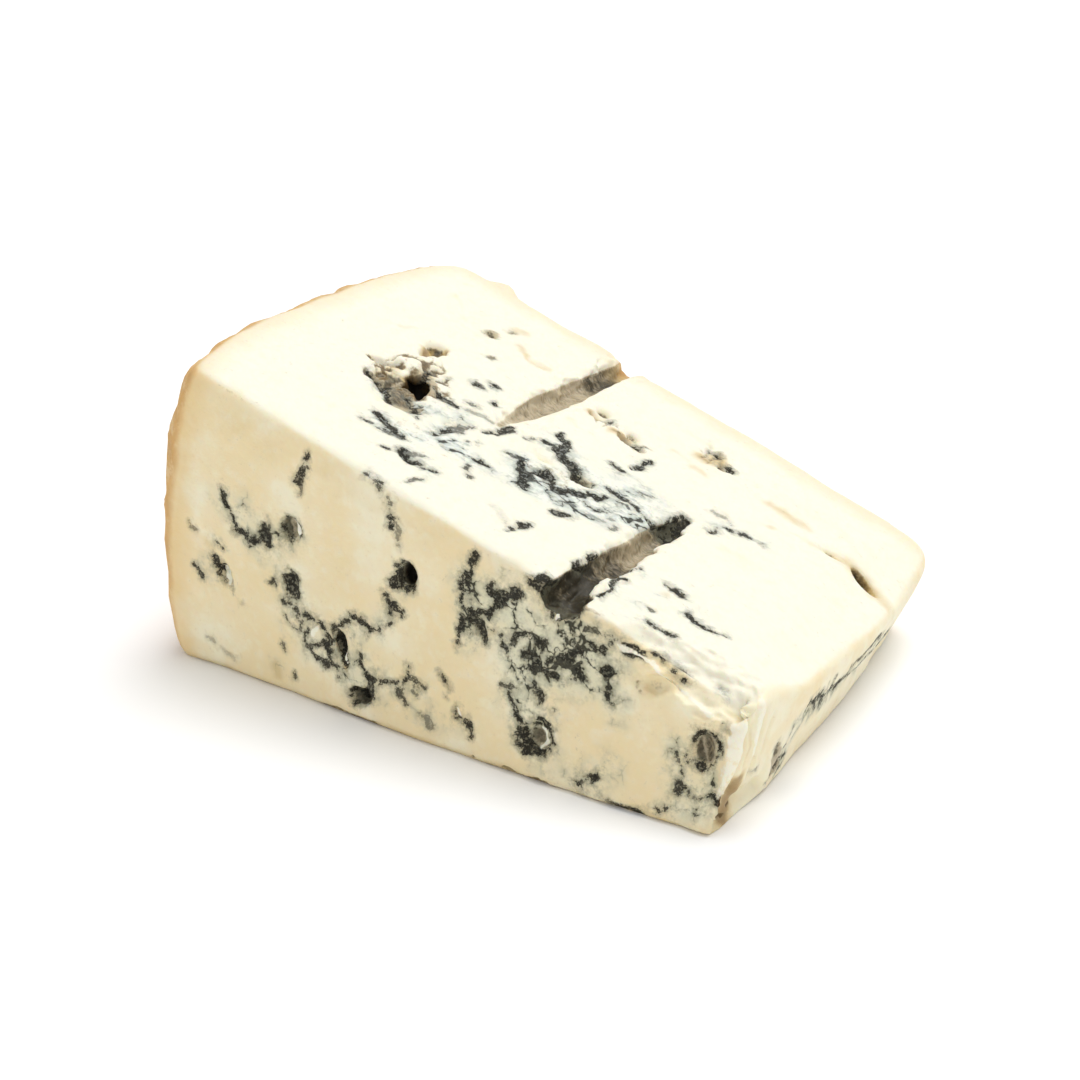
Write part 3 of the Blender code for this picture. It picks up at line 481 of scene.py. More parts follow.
    stain_and_shade(0.55, (31.3, 60.2, 0.6), (34.5, 57.8, 0.8), (36.6, 58.0, 1.0), (38.7, 58.6, 0.4)),
    stain_and_shade(0.3, (15.0, 42.8, 0.9), (17.6, 43.6, 0.7), (18.2, 45.4, 0.7)),
    stain_and_shade(0.25, (14.2, 64.4, 0.5), (16.6, 62.5, 0.6), (20.1, 58.0, 0.5)),
    stain_and_shade(0.25, (12.5, 70.0, 0.7),),
    stain_and_shade(0.7, (28.5, 34.5, 1.2), (30.4, 33.8, 0.6)),
    stain_and_shade(0.55, (82.5, 58.6, 1.2), (85.0, 58.3, 1.4), (88.1, 58.1, 1.8), (89.8, 58.2, 1.0)),
    stain_and_shade(0.3, (89.1, 53.6, 0.8), (92.3, 54.0, 0.9)),
    stain_and_shade(0.5, (86.7, 50.8, 0.9),),
    stain_and_shade(0.6, (94.0, 54.2, 1.2), (98.5, 56.2, 2.0), (103.0, 56.0, 2.4), (106.5, 54.0, 1.6)),
    stain_and_shade(0.2, (87.0, 36.0, 4.0), (91.0, 38.0, 3.0)),
    stain_and_shade(0.4, (86.0, 14.2, 0.9),),
    stain_and_shade(0.3, (49.8, 47.3, 1.2), (51.5, 46.5, 0.8)),
    stain_and_shade(0.16, (62.0, 58.0, 3.0), (75.0, 60.0, 3.5), (90.0, 64.0, 4.0), (100.0, 62.0, 3.0)),
    stain_and_shade(0.16, (20.0, 50.0, 4.0), (34.0, 62.0, 5.0)),
    felt(0.52, (44.4, 35.0, 5.0), (44.6, 58.0, 5.0)),
    felt(0.8, (44.6, 66.0, 6.0), (44.8, 84.0, 6.0)),
    felt(1.0, (76.4, -2.0, 6.0), (76.6, 9.0, 6.0)),
    felt(0.8, (76.6, 13.0, 5.0), (76.8, 17.0, 5.0)),
    felt(0.55, (76.8, 20.0, 5.0), (76.9, 27.0, 5.0)),
    felt(1.0, (76.9, 33.5, 5.0), (76.9, 38.0, 5.0)),
    vein(1.0, (76.2, -4.0, 1.4), (76.0, 1.2, 1.4), (76.6, 2.6, 0.8)),
    vein(0.85, (80.4, 4.2, 0.2), (80.1, 6.4, 0.3), (79.8, 8.8, 0.35), (79.4, 10.8, 0.2),
         (80.5, 11.6, 0.35)),
    crumb_and_light(1.0, (79.4, 4.8, 0.5), (79.3, 7.0, 0.6), (79.0, 9.0, 0.4)),
    crumb_and_light(1.0, (77.8, 24.4, 0.5), (78.6, 26.0, 0.6), (78.7, 28.4, 0.4)),
    crumb_and_light(0.9, (76.8, 4.0, 0.3), (77.8, 4.3, 0.35)),
    vein(1.0, (76.8, 28.6, 1.2), (76.9, 31.8, 1.7), (76.9, 35.2, 1.1), (76.8, 38.4, 0.7)),
)

TIP_MARKS = (
    *feathers((21.2, 10.6), (37.0, 8.9), 19, 2.6, 0.42),
    vein(0.7, (22.4, 10.9, 0.4), (26.5, 10.6, 0.5), (31.0, 9.8, 0.5), (36.0, 8.8, 0.3)),
    vein(0.8, (36.0, 8.8, 0.4), (41.9, 8.2, 0.3), (50.4, 7.6, 0.4), (56.0, 6.8, 0.3), (62.0, 6.0, 0.3)),
    vein(0.6, (38.0, 10.4, 0.3), (44.0, 10.6, 0.4), (48.5, 10.8, 0.5), (53.0, 9.8, 0.3)),
    vein(0.5, (12.8, 8.6, 0.4), (13.2, 6.6, 0.4)),
    vein(0.6, (15.2, 4.4, 0.4), (13.5, 3.2, 0.4), (11.6, 2.6, 0.5)),
    vein(0.45, (17.4, 9.8, 0.2), (16.4, 7.8, 0.45), (15.4, 6.0, 0.3)),
    lining(0.45, (12.9, 8.2, 0.6), (13.6, 6.0, 1.6), (14.2, 4.2, 1.6), (12.4, 3.0, 0.8)),
    smoke(0.6, (18.5, 9.5, 1.8), (26.0, 9.0, 2.2), (34.0, 8.6, 2.0), (50.0, 8.0, 1.8), (66.0, 5.0, 1.6)),
    smoke(0.7, (14.6, 5.4, 1.8), (15.6, 3.0, 2.2), (19.0, 6.6, 1.2)),
    # Tan at the foot of the tip corner: painted shade in the undercut recess.
    stain_and_shade(0.95, (0.8, 0.6, 1.8), (1.8, 4.0, 2.0), (1.8, 7.8, 1.0)),
    stain_and_shade(0.9, (1.0, 0.6, 1.6), (2.0, 3.4, 1.5), (1.9, 7.6, 0.8)),
    stain_and_shade(0.5, (5.0, 2.6, 1.6), (6.4, 4.6, 1.6)),
    # Khaki line in the crease between the corner lobes: painted shade.
    stain_and_shade(0.5, (1.6, 20.6, 0.7), (2.0, 19.0, 0.5), (2.8, 16.4, 0.4), (2.8, 13.0, 0.4), (2.2, 10.0, 0.6)),
    stain_and_shade(0.3, (7.0, 12.6, 0.5), (7.0, 7.6, 0.8)),
    # Pale crests of the two corner lobes: painted light over a slight real rise.
    crumb_and_light(0.5, (1.0, 18.4, 0.7), (1.0, 14.0, 0.7), (0.4, 9.0, 0.5)),
    crumb_and_light(0.5, (2.4, 21.6, 0.6), (4.4, 20.4, 0.8), (4.8, 17.0, 0.9), (4.6, 11.0, 0.8)),
    crack(0.5, (3.6, 5.8, 0.5),),
    crack(0.55, (3.0, 2.4, 0.6),),
    crack(0.6, (-0.6, 1.8, 0.5), (1.2, 1.2, 0.5)),
    vein(0.4, (4.6, 7.4, 0.2), (6.4, 7.2, 0.25)),
    stain_and_shade(0.25, (10.0, 1.0, 1.5), (24.0, 2.0, 2.6), (44.0, 2.5, 3.2), (66.0, 2.0, 3.2)),
)


def soft_step(low: float, high: float, value: np.ndarray) -> np.ndarray:
    """A smooth rise from 0 at low to 1 at high."""
    share = np.clip((value - low) / (high - low), 0, 1)
    return share * share * (3 - 2 * share)


def rumple(points: np.ndarray, size: float, seed: float) -> np.ndarray:
    """Smooth random values over a set of points.

    Args:
        points: places in mm.
        size: width of a bump in mm.
        seed: offset that picks the pattern.
    Returns:
        One value from about -1 to 1 for each point.
    """
    full_range = 1.6
    places = points / size + seed
    return np.array([noise.noise(Vector(place)) for place in places]) * full_range


@dataclass(frozen=True)
class WedgeShape:
    """The wedge's plain faces, as formulas in millimetres."""

    depth: float = 78.5
    rim_heights: Pair = (53.1, 55.3)
    tip_heights: Pair = (21.6, 17.6)
    rim_tops: Pair = (9.9, 3.3)
    tip_tops: Pair = (106.6, 101.5)
    tip_leans: Pair = (3.0, 5.6)
    foot_length: float = 104.5
    tip_setback: float = 4.8
    tip_bow: float = 2.0
    tip_shoulder: float = 2.4
    shoulder_run: float = 9.0
    shoulder_past: float = 1.0
    shoulder_front: Pair = (6.0, 20.0)
    shoulder_back: Pair = (58.0, 74.0)
    dome: float = 0.9
    rim_radius: float = 100.0
    rim_offset: float = -3.4
    rim_bulge: float = 4.4
    rim_fullest: float = 12.0
    front_sag: float = 3.7
    sag_height: float = 26.0
    sag_power: float = 1.6
    sag_run: Pair = (4.0, 66.0)
    low_corner: Pair = (-8.24, -3.71)

    def rim_x(self, y: np.ndarray, z: np.ndarray) -> np.ndarray:
        """Where the rim stands at a height and a depth."""
        fall = 1 - np.sqrt(1 - ((z - self.rim_fullest) / self.rim_radius)**2)
        bulge = self.rim_bulge * (1 - (2 * y / self.depth - 1)**4)
        return self.rim_offset + self.rim_radius * fall - bulge

    def tip_x(self, y: np.ndarray, z: np.ndarray) -> np.ndarray:
        """Where the tip stands at a height and a depth."""
        back = y / self.depth
        rise = np.clip(z / blend(self.tip_heights, back), 0, 1)
        bow = 4 * self.tip_bow * back * (1 - back)
        return self.foot_length - self.tip_setback * back + bow + blend(self.tip_leans, back) * rise

    def top_z(self, x: np.ndarray, y: np.ndarray) -> np.ndarray:
        """Height of the top cut at a place."""
        back = y / self.depth
        tip = blend(self.tip_tops, back)
        rim = blend(self.rim_tops, back)
        along = (x - rim) / (tip - rim)
        plane = blend(self.rim_heights, back) * (1 - along) + blend(self.tip_heights, back) * along
        crown = self.dome * 4 * back * (1 - back) * (1 - np.clip(along, 0, 1))
        near_tip = (x - tip + self.shoulder_run - self.shoulder_past) / self.shoulder_run
        drop = soft_step(0, 1, near_tip)**2 * soft_step(*self.shoulder_front, y)
        drop *= 1 - soft_step(*self.shoulder_back, y)
        return plane + crown - self.tip_shoulder * drop

    def front_y(self, x: np.ndarray, z: np.ndarray) -> np.ndarray:
        """Where the front cut stands at a place."""
        fade = np.clip(1 - z / self.sag_height, 0, 1)**self.sag_power
        return -self.front_sag * soft_step(*self.sag_run, x) * fade

    def depths(self, points: np.ndarray) -> Depths:
        """Distance of each point under each face.

        Args:
            points: places in mm.
        Returns:
            Distances in mm by face.
        """
        x, y, z = points.T
        return {
            Face.FRONT: y - self.front_y(x, z),
            Face.BACK: self.depth - y,
            Face.TOP: self.top_z(x, y) - z,
            Face.FOOT: z,
            Face.TIP: self.tip_x(y, z) - x,
            Face.RIM: x - self.rim_x(y, z),
        }


def blend(ends: Pair, share: np.ndarray) -> np.ndarray:
    """A value between two ends."""
    return ends[0] + (ends[1] - ends[0]) * share


def least(depths: Depths, *faces: Face) -> np.ndarray:
    """Depth under the nearest of some faces."""
    return np.minimum.reduce([depths[face] for face in faces])


@dataclass
class Marbling:
    """The mould, haze and stains, with some painted shade and light, gathered into one value a point for each
    kind.
    """

    foot_seed: int = 41
    foot_colonies: int = 34
    foot_span: Pair = (14.0, 98.0)
    foot_middle: float = 40.0
    foot_spread: float = 17.0
    foot_step: float = 2.2
    haze_width: float = 2.6
    deepest_mark: float = 13.0
    skin: float = 0.4
    margin: float = 7.0
    no_vein: float = -4.0
    felt_from: Pair = (0.3, 0.9)

    def foot_marks(self) -> tuple[Stroke, ...]:
        """Wandering veins and haze for the hidden cut that the wedge lies on.

        Returns:
            Strokes on the foot, drawn from a fixed seed.
        """
        dice = np.random.default_rng(self.foot_seed)
        marks: list[Stroke] = []
        for _ in range(self.foot_colonies):
            x = dice.uniform(*self.foot_span)
            y = self.foot_middle + dice.normal(0, self.foot_spread)
            heading = dice.normal(0.2, 0.7)
            width = dice.uniform(0.3, 0.9)
            trail = []
            for _ in range(int(dice.integers(2, 6))):
                trail.append((x, y, width * dice.uniform(0.6, 1.3)))
                x += self.foot_step * math.cos(heading)
                y += self.foot_step * math.sin(heading)
                heading += dice.normal(0, 0.7)
            strength = dice.uniform(0.5, 0.95)
            marks.append(vein(strength, *trail))
            haze = [(u, v, self.haze_width + w) for u, v, w in trail]
            marks.append(smoke(0.45 * strength, *haze))
        return tuple(marks)

    def gather(self, points: np.ndarray, depths: Depths) -> Values:
        """The marks of all faces at each point.

        Args:
            points: places in mm.
            depths: distances under the faces in mm.
        Returns:
            Arrays named vein, in mm inside the mould, and ink, smoke, stain, lining, crack and
            crumb, from 0 to 1.
        """
        x, y, z = points.T
        layers = ("ink", "smoke", "stain_and_shade", "lining", "felt", "crack", "crumb_and_light")
        found = {name: np.zeros(len(points)) for name in layers}
        found["vein"] = np.full(len(points), self.no_vein)
        faces = (
            (FRONT_MARKS, x, z, depths[Face.FRONT]),
            (TOP_MARKS, x, y, depths[Face.TOP]),
            (TIP_MARKS, y, z, depths[Face.TIP]),
            (self.foot_marks(), x, y, depths[Face.FOOT]),
        )
        for marks, across, along, depth in faces:
            near = np.flatnonzero(depth < self.deepest_mark)
            depth_here = np.clip(depth[near] - self.skin, 0, None)
            for stroke in marks:
                self.lay(stroke, across[near], along[near], depth_here, near, found)
        inner = least(depths, Face.FRONT, Face.TOP, Face.TIP, Face.BACK)
        channel_felt = found.pop("felt") * soft_step(*self.felt_from, inner)
        found["lining"] = np.maximum(found["lining"], channel_felt)
        return found

    def lay(self, stroke: Stroke, across: np.ndarray, along: np.ndarray, depth: np.ndarray,
            near: np.ndarray, found: Values) -> None:
        """Adds one stroke to the values found so far.

        Args:
            stroke: the mark.
            across: first coordinate on the face, in mm.
            along: second coordinate on the face, in mm.
            depth: distance under the face, in mm.
            near: which points those are.
            found: the values, which change in place.
        """
        us, vs, widths = zip(*stroke.points)
        inside = (across > min(us) - self.margin) & (across < max(us) + self.margin)
        inside &= (along > min(vs) - self.margin) & (along < max(vs) + self.margin)
        pick = np.flatnonzero(inside)
        if not len(pick):
            return
        here = near[pick]
        reach = stroke.reach(across[pick], along[pick], depth[pick])
        if stroke.mark is Mark.VEIN:
            wins = reach > found["vein"][here]
            found["vein"][here] = np.where(wins, reach, found["vein"][here])
            found["ink"][here] = np.where(wins, stroke.strength, found["ink"][here])
            return
        softness = SOFTNESS.get(stroke.mark, USUAL_SOFTNESS)
        width = max(widths)
        amount = stroke.strength * soft_step(-softness * width, softness * width, reach)
        name = stroke.mark.name.lower()
        if stroke.mark is Mark.FELT:
            found[name][here] = np.maximum(found[name][here], amount)
            return
        found[name][here] = 1 - (1 - found[name][here]) * (1 - amount)


@dataclass(frozen=True)
class Scoop:
    """A broken hollow in one face, an oval bowl in mm."""

    face: Face
    centre: Pair
    radii: Pair
    depth: float
    turn: float = 0.0


SCOOPS = (
    Scoop(Face.TOP, (30.4, 24.2), (5.6, 4.4), 1.0, -40),
    Scoop(Face.TOP, (29.6, 25.3), (2.8, 3.0), -1.1),
    Scoop(Face.TOP, (29.8, 30.2), (3.6, 2.0), 2.6, -50),
    Scoop(Face.TOP, (31.8, 30.9), (2.2, 1.7), -0.6),
    Scoop(Face.TOP, (25.0, 34.7), (2.7, 2.9), -0.9),
    Scoop(Face.TOP, (27.4, 38.1), (2.1, 2.2), -0.8),
    Scoop(Face.TOP, (25.6, 27.6), (1.7, 1.7), -0.6),
    Scoop(Face.TOP, (34.2, 27.0), (3.4, 2.0), -0.5, 10),
    Scoop(Face.TOP, (22.6, 31.0), (3.0, 0.9), 1.3, 32),
    Scoop(Face.TOP, (24.2, 24.8), (1.9, 1.0), 1.2, -20),
    Scoop(Face.TOP, (25.0, 41.6), (3.3, 1.6), 1.8, 82),
    Scoop(Face.TOP, (52.2, 53.5), (2.6, 1.5), 1.3, 5),
    Scoop(Face.TOP, (59.4, 51.4), (3.2, 1.5), 1.5, -12),
    Scoop(Face.TOP, (69.2, 64.7), (1.8, 1.4), 1.2),
    Scoop(Face.TOP, (72.8, 61.4), (2.0, 1.3), 1.1, 20),
    Scoop(Face.TOP, (26.2, 58.3), (1.6, 1.0), 0.8),
    Scoop(Face.TOP, (36.0, 58.0), (3.4, 0.8), 0.5, -8),
    Scoop(Face.TOP, (56.0, 26.3), (3.0, 1.2), 0.6, 10),
    Scoop(Face.TOP, (61.6, 31.4), (2.4, 1.5), 0.7),
    Scoop(Face.TOP, (42.6, 9.2), (2.4, 1.1), 0.6, -20),
    Scoop(Face.TOP, (79.2, 7.0), (1.0, 3.4), -0.6),
    Scoop(Face.TOP, (78.4, 26.4), (0.9, 2.4), -0.6, -8),
    Scoop(Face.FRONT, (92.4, 20.6), (3.4, 1.9), 0.9, 8),
    Scoop(Face.FRONT, (87.2, 19.4), (2.2, 1.6), -0.5),
    Scoop(Face.FRONT, (101.2, 12.9), (1.7, 2.8), 0.8),
    Scoop(Face.FRONT, (73.5, 7.3), (2.3, 2.5), 0.8),
    Scoop(Face.FRONT, (10.9, 18.4), (1.4, 2.2), 0.8, 30),
    Scoop(Face.FRONT, (35.2, 12.2), (1.2, 2.6), 0.9, 20),
    Scoop(Face.FRONT, (58.7, 6.8), (1.0, 1.6), 0.6, 20),
    Scoop(Face.FRONT, (40.0, 4.5), (2.0, 1.5), 0.6),
    Scoop(Face.FRONT, (76.2, 28.8), (3.4, 1.8), 1.4),
    Scoop(Face.TIP, (10.6, 4.4), (1.4, 3.0), -0.7),
)


@dataclass(frozen=True)
class Fold:
    """A crease or ridge that runs down the corner between the front cut and the tip.

    Each point gives a height in mm, a distance from the corner in mm, counted on along the tip and
    back along the front, and a half width in mm. The depth is below zero for a ridge.
    """

    depth: float
    points: tuple[Triple, ...]

    def depth_at(self, around: np.ndarray, height: np.ndarray) -> np.ndarray:
        """Depth of the crease in mm.

        Args:
            around: distance from the corner in mm.
            height: height over the foot in mm.
        Returns:
            Depths in mm, which fade out beyond the crease's ends.
        """
        fade = 1.2
        past_top = 1.0
        flatness = 2.6
        heights, places, widths = np.array(self.points).T
        offset = (around - np.interp(height, heights, places)) / np.interp(height, heights, widths)
        ends = soft_step(heights[0] - fade, heights[0] + fade, height)
        ends *= soft_step(heights[-1] + past_top, heights[-1] - fade, height)
        return self.depth * np.exp(-np.abs(offset)**flatness) * ends


FOLDS = (
    Fold(1.5, ((6.0, 2.2, 0.6), (10.0, 2.3, 0.55), (13.0, 2.8, 0.6), (17.0, 2.9, 0.65), (20.5, 2.0, 0.8))),
    Fold(0.6, ((5.0, 7.0, 0.6), (12.7, 7.1, 0.6), (18.0, 7.0, 0.5))),
    Fold(1.2, ((5.0, -2.2, 0.8), (11.6, -2.6, 0.9), (17.5, -3.6, 1.0))),
    Fold(1.3, ((19.6, 2.2, 0.8), (23.0, 2.0, 0.9))),
    Fold(0.35, ((9.0, 9.6, 0.5), (16.0, 10.0, 0.5))),
    Fold(1.9, ((0.0, 2.4, 2.0), (4.0, 2.5, 1.8), (8.0, 2.4, 1.0))),
    Fold(0.8, ((0.0, 6.4, 2.2), (4.0, 6.8, 1.8))),
)


@dataclass(frozen=True)
class Crag:
    """A stretch of the top cut that is broken into crumbs, an oval in mm."""

    centre: Pair
    radii: Pair
    strength: float


CRAGS = (
    Crag((28.6, 31.0), (8.4, 9.0), 1.0),
    Crag((57.0, 52.4), (7.0, 3.0), 0.6),
    Crag((70.6, 62.6), (4.0, 4.0), 0.6),
    Crag((58.0, 29.5), (9.0, 6.5), 0.4),
    Crag((40.0, 17.0), (9.0, 6.0), 0.3),
)


@dataclass
class PasteBody:
    """The wedge as one fine mesh, sculpted and marked. Sizes are in mm.

    A channel is given by its middle, the depth where it closes and the depth where it is fully open.
    """

    name: str = "marbled_wedge"
    shape: WedgeShape = field(default_factory=WedgeShape)
    marbling: Marbling = field(default_factory=Marbling)
    voxel: float = 0.44
    kept_share: float = 0.5
    smoothing: int = 14
    vein_groove: float = 0.24
    curd_relief: float = 0.09
    rind_relief: float = 0.3
    tear_start: float = 83.0
    tear_width: float = 5.0
    corner_radius: float = 2.4
    corner_reach: Pair = (6.5, 4.5)
    shoulder: float = 19.2
    shoulder_fall: float = 0.7
    crumb_size: float = 2.9
    crevice: float = 0.55
    crumb_height: float = 0.4
    crack_depth: float = 0.7
    felt_grain: float = 0.45
    crag_top: float = 6.0
    near_channel: Triple = (76.8, 42.0, 36.0)
    far_channel: Triple = (44.6, 30.0, 36.0)
    channel_edge: Pair = (5.5, 3.0)

    def build(self, node: bpy.types.Object) -> bpy.types.Object:
        """Makes the finished mesh from the plain solid.

        Args:
            node: the plain solid's object.
        Returns:
            The new object, with its marks as attributes.
        """
        mesh = self.remeshed(node)
        origin = self.origin(node.name)
        self.smooth(mesh, origin)
        points = self.read(mesh, origin)
        depths = self.shape.depths(points)
        marks = self.marbling.gather(self.warped(points), depths)
        marks.update(self.zones(points, depths))
        # Crevices between crumbs join the crack mark, which sinks them and paints shade in them.
        marks["crack"] = np.maximum(marks["crack"], self.crevice * self.crumbled(points, depths))
        for key, values in marks.items():
            layer = mesh.attributes.new(key, "FLOAT", "POINT")
            layer.data.foreach_set("value", values.astype(np.float32))
        self.sculpt(mesh, origin, points, depths, marks)
        mesh = self.thinned(mesh, origin)
        self.write(mesh, self.read(mesh, origin), origin, node.name)
        mesh.shade_smooth()
        piece = bpy.data.objects.new(self.name, mesh)
        bpy.context.scene.collection.objects.link(piece)
        return piece

    def origin(self, node_name: str) -> np.ndarray:
        """The measuring corner, in mm from the part's own origin."""
        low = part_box(node_name)[0]
        corner = self.shape.low_corner
        return np.array([low[0] / MILLIMETRE - corner[0], low[1] / MILLIMETRE - corner[1], 0.0])

    def remeshed(self, node: bpy.types.Object) -> bpy.types.Mesh:
        """An even mesh of the solid, in mm.

        Args:
            node: the plain solid's object.
        Returns:
            A new mesh of small squares.
        """
        shell = bmesh.new()
        shell.from_mesh(node.data)
        bmesh.ops.remove_doubles(shell, verts=shell.verts, dist=1e-7)
        bmesh.ops.scale(shell, vec=Vector((1, 1, 1)) / MILLIMETRE, verts=shell.verts)
        rough = bpy.data.meshes.new("rough_wedge")
        shell.to_mesh(rough)
        shell.free()
        holder = bpy.data.objects.new("rough_wedge", rough)
        bpy.context.scene.collection.objects.link(holder)
        remesh = holder.modifiers.new("even", "REMESH")
        remesh.mode = "VOXEL"
        remesh.voxel_size = self.voxel
        graph = bpy.context.evaluated_depsgraph_get()
        mesh = bpy.data.meshes.new_from_object(holder.evaluated_get(graph))
        mesh.name = self.name
        mesh.materials.clear()
        bpy.data.objects.remove(holder)
        bpy.data.meshes.remove(rough)
        return mesh

    def smooth(self, mesh: bpy.types.Mesh, origin: np.ndarray) -> None:
        """Evens out the solid's facets, less so in its hollows and folds.

        Args:
            mesh: the even mesh, in mm from the part's origin.
            origin: the measuring corner, in mm.
        """
        points = self.read(mesh, origin)
        depths = self.shape.depths(points)
        cuts = least(depths, Face.FRONT, Face.TOP, Face.TIP)
        edge = soft_step(1.6, 0.6, np.maximum(depths[Face.FRONT], depths[Face.TOP]))
        carved = np.maximum(soft_step(0.5, 1.3, cuts), 0.9 * edge)
        carved *= soft_step(1.0, 3.0, np.minimum(depths[Face.RIM], depths[Face.BACK]))
        ends = np.empty(len(mesh.edges) * 2, dtype=np.int64)
        mesh.edges.foreach_get("vertices", ends)
        first, second = ends.reshape(-1, 2).T
        count = len(points)
        degree = np.bincount(ends, minlength=count)
        pull = (0.6 * (1 - 0.85 * carved))[:, None]
        for _ in range(self.smoothing):
            middle = np.empty_like(points)
            for axis in range(3):
                total = np.bincount(first, points[second, axis], count)
                total += np.bincount(second, points[first, axis], count)
                middle[:, axis] = total / degree
            points += (middle - points) * pull
        self.store(mesh, points + origin)

    def thinned(self, mesh: bpy.types.Mesh, origin: np.ndarray) -> bpy.types.Mesh:
        """The mesh with fewer faces on the rind and the foot.

        Args:
            mesh: the sculpted mesh, in mm from the part's origin.
            origin: the measuring corner, in mm.
        Returns:
            The lighter mesh, which takes the old one's place.
        """
        depths = self.shape.depths(self.read(mesh, origin))
        plain = soft_step(2.6, 1.2, least(depths, Face.RIM, Face.BACK, Face.FOOT))
        holder = bpy.data.objects.new("full_wedge", mesh)
        bpy.context.scene.collection.objects.link(holder)
        group = holder.vertex_groups.new(name="plain")
        group.add(np.flatnonzero(plain > 0.5).tolist(), 1.0, "REPLACE")
        decimate = holder.modifiers.new("thin", "DECIMATE")
        decimate.ratio = self.kept_share
        decimate.vertex_group = group.name
        graph = bpy.context.evaluated_depsgraph_get()
        light = bpy.data.meshes.new_from_object(holder.evaluated_get(graph))
        light.name = self.name
        bpy.data.objects.remove(holder)
        bpy.data.meshes.remove(mesh)
        return light

    def store(self, mesh: bpy.types.Mesh, places: np.ndarray) -> None:
        """Writes places into the mesh."""
        mesh.vertices.foreach_set("co", places.astype(np.float32).ravel())
        mesh.update()

    def read(self, mesh: bpy.types.Mesh, origin: np.ndarray) -> np.ndarray:
        """The mesh's points, in mm from the measuring corner."""
        points = np.empty(len(mesh.vertices) * 3)
        mesh.vertices.foreach_get("co", points)
        return points.reshape(-1, 3) - origin

    def warped(self, points: np.ndarray) -> np.ndarray:
        """The points shifted a little at random, so that drawn marks come out ragged.

        Args:
            points: places in mm.
        Returns:
            Shifted places in mm.
        """
        shifts = []
        for seed in (3.1, 17.7, 29.3):
            shifts.append(0.42 * rumple(points, 2.6, seed) + 0.2 * rumple(points, 1.0, seed + 5))
        return points + np.array(shifts).T

    def zones(self, points: np.ndarray, depths: Depths) -> Values:
        """Where the rind, the hollows, the top cut and the front cut are.

        Args:
            points: places in mm.
            depths: distances under the faces in mm.
        Returns:
            Values from 0 to 1 named hollow, lid and cut, the depth under the rind in mm named crust, and the
            depth of the hollows in mm named pit, by which the hollows are darkened as painted shade.
        """
        crust = np.minimum(depths[Face.RIM], depths[Face.BACK])
        crust = crust + 0.45 * rumple(points, 5.0, 11.0)
        nearest = least(depths, Face.FRONT, Face.TOP, Face.TIP)
        hollow = soft_step(0.6, 1.9, nearest) * soft_step(1.5, 4.0, crust)
        hollow *= soft_step(0.2, 1.5, depths[Face.FOOT])
        hollow *= 1 - soft_step(5.0, 3.0, depths[Face.TIP]) * soft_step(17.0, 13.0, depths[Face.FRONT])
        lid = soft_step(1.2, 0.3, depths[Face.TOP])
        # cut marks the front cut, where the paste is painted warmer as shade.
        cut = soft_step(3.0, 0.6, depths[Face.FRONT]) * (1 - lid)
        return {"crust": crust, "hollow": hollow, "lid": lid, "cut": cut, "pit": np.clip(nearest, 0, 12)}

    def sculpt(self, mesh: bpy.types.Mesh, origin: np.ndarray, points: np.ndarray,
               depths: Depths, marks: Values) -> None:
        """Pushes grooves, curd grain, rind lumps, scoops and folds into the surface.

        Args:
            mesh: the mesh that changes.
            origin: the measuring corner, in mm.
            points: places in mm.
            depths: distances under the faces in mm.
            marks: the marks at each point.
        """
        normals = np.empty(len(points) * 3)
        mesh.vertices.foreach_get("normal", normals)
        normals = normals.reshape(-1, 3)
        groove = soft_step(-0.35, 0.55, marks["vein"]) * marks["ink"]
        push = -self.vein_groove * groove * (1 + 0.8 * rumple(points, 1.3, 7.0))
        push += self.curd_relief * (rumple(points, 6.5, 23.0) + 0.5 * rumple(points, 2.2, 31.0))
        rind = soft_step(1.2, 0.0, marks["crust"])
        wrinkles = rumple(points, 5.0, 47.0) - 0.8 * np.abs(rumple(points, 2.2, 53.0))
        push += self.rind_relief * rind * wrinkles
        fibres = np.abs(rumple(points * np.array([1, 0.6, 1]), 1.6, 61.0))
        push -= self.felt_grain * marks["lining"] * fibres
        push -= self.crack_depth * marks["crack"] * (1 + 0.5 * rumple(points, 1.6, 67.0))
        push += self.crumb_height * marks["crumb_and_light"]
        push -= self.scooped(points, depths)
        grounded = soft_step(0.0, 0.8, depths[Face.FOOT])
        moved = points + normals * (push * grounded)[:, None]
        moves = self.torn_edge(points, depths) + self.folded(points, depths) + self.frayed(points)
        moved += moves * grounded[:, None]
        self.store(mesh, moved + origin)

    def scooped(self, points: np.ndarray, depths: Depths) -> np.ndarray:
        """How deep the broken hollows of the cuts go at each point.

        Args:
            points: places in mm.
            depths: distances under the faces in mm.
        Returns:
            Depths in mm.
        """
        total = np.zeros(len(points))
        ragged = 1 + 0.35 * rumple(points, 1.8, 71.0)
        for scoop in SCOOPS:
            axes = {Face.FRONT: (0, 2), Face.TOP: (0, 1), Face.TIP: (1, 2)}[scoop.face]
            across = points[:, axes[0]] - scoop.centre[0]
            along = points[:, axes[1]] - scoop.centre[1]
            turn = math.radians(scoop.turn)
            u = (across * math.cos(turn) + along * math.sin(turn)) / scoop.radii[0]
            v = (along * math.cos(turn) - across * math.sin(turn)) / scoop.radii[1]
            inside = np.clip(1 - (u * u + v * v) * ragged, 0, 1)
            total += scoop.depth * inside**0.6 * (depths[scoop.face] < 4)
        return total

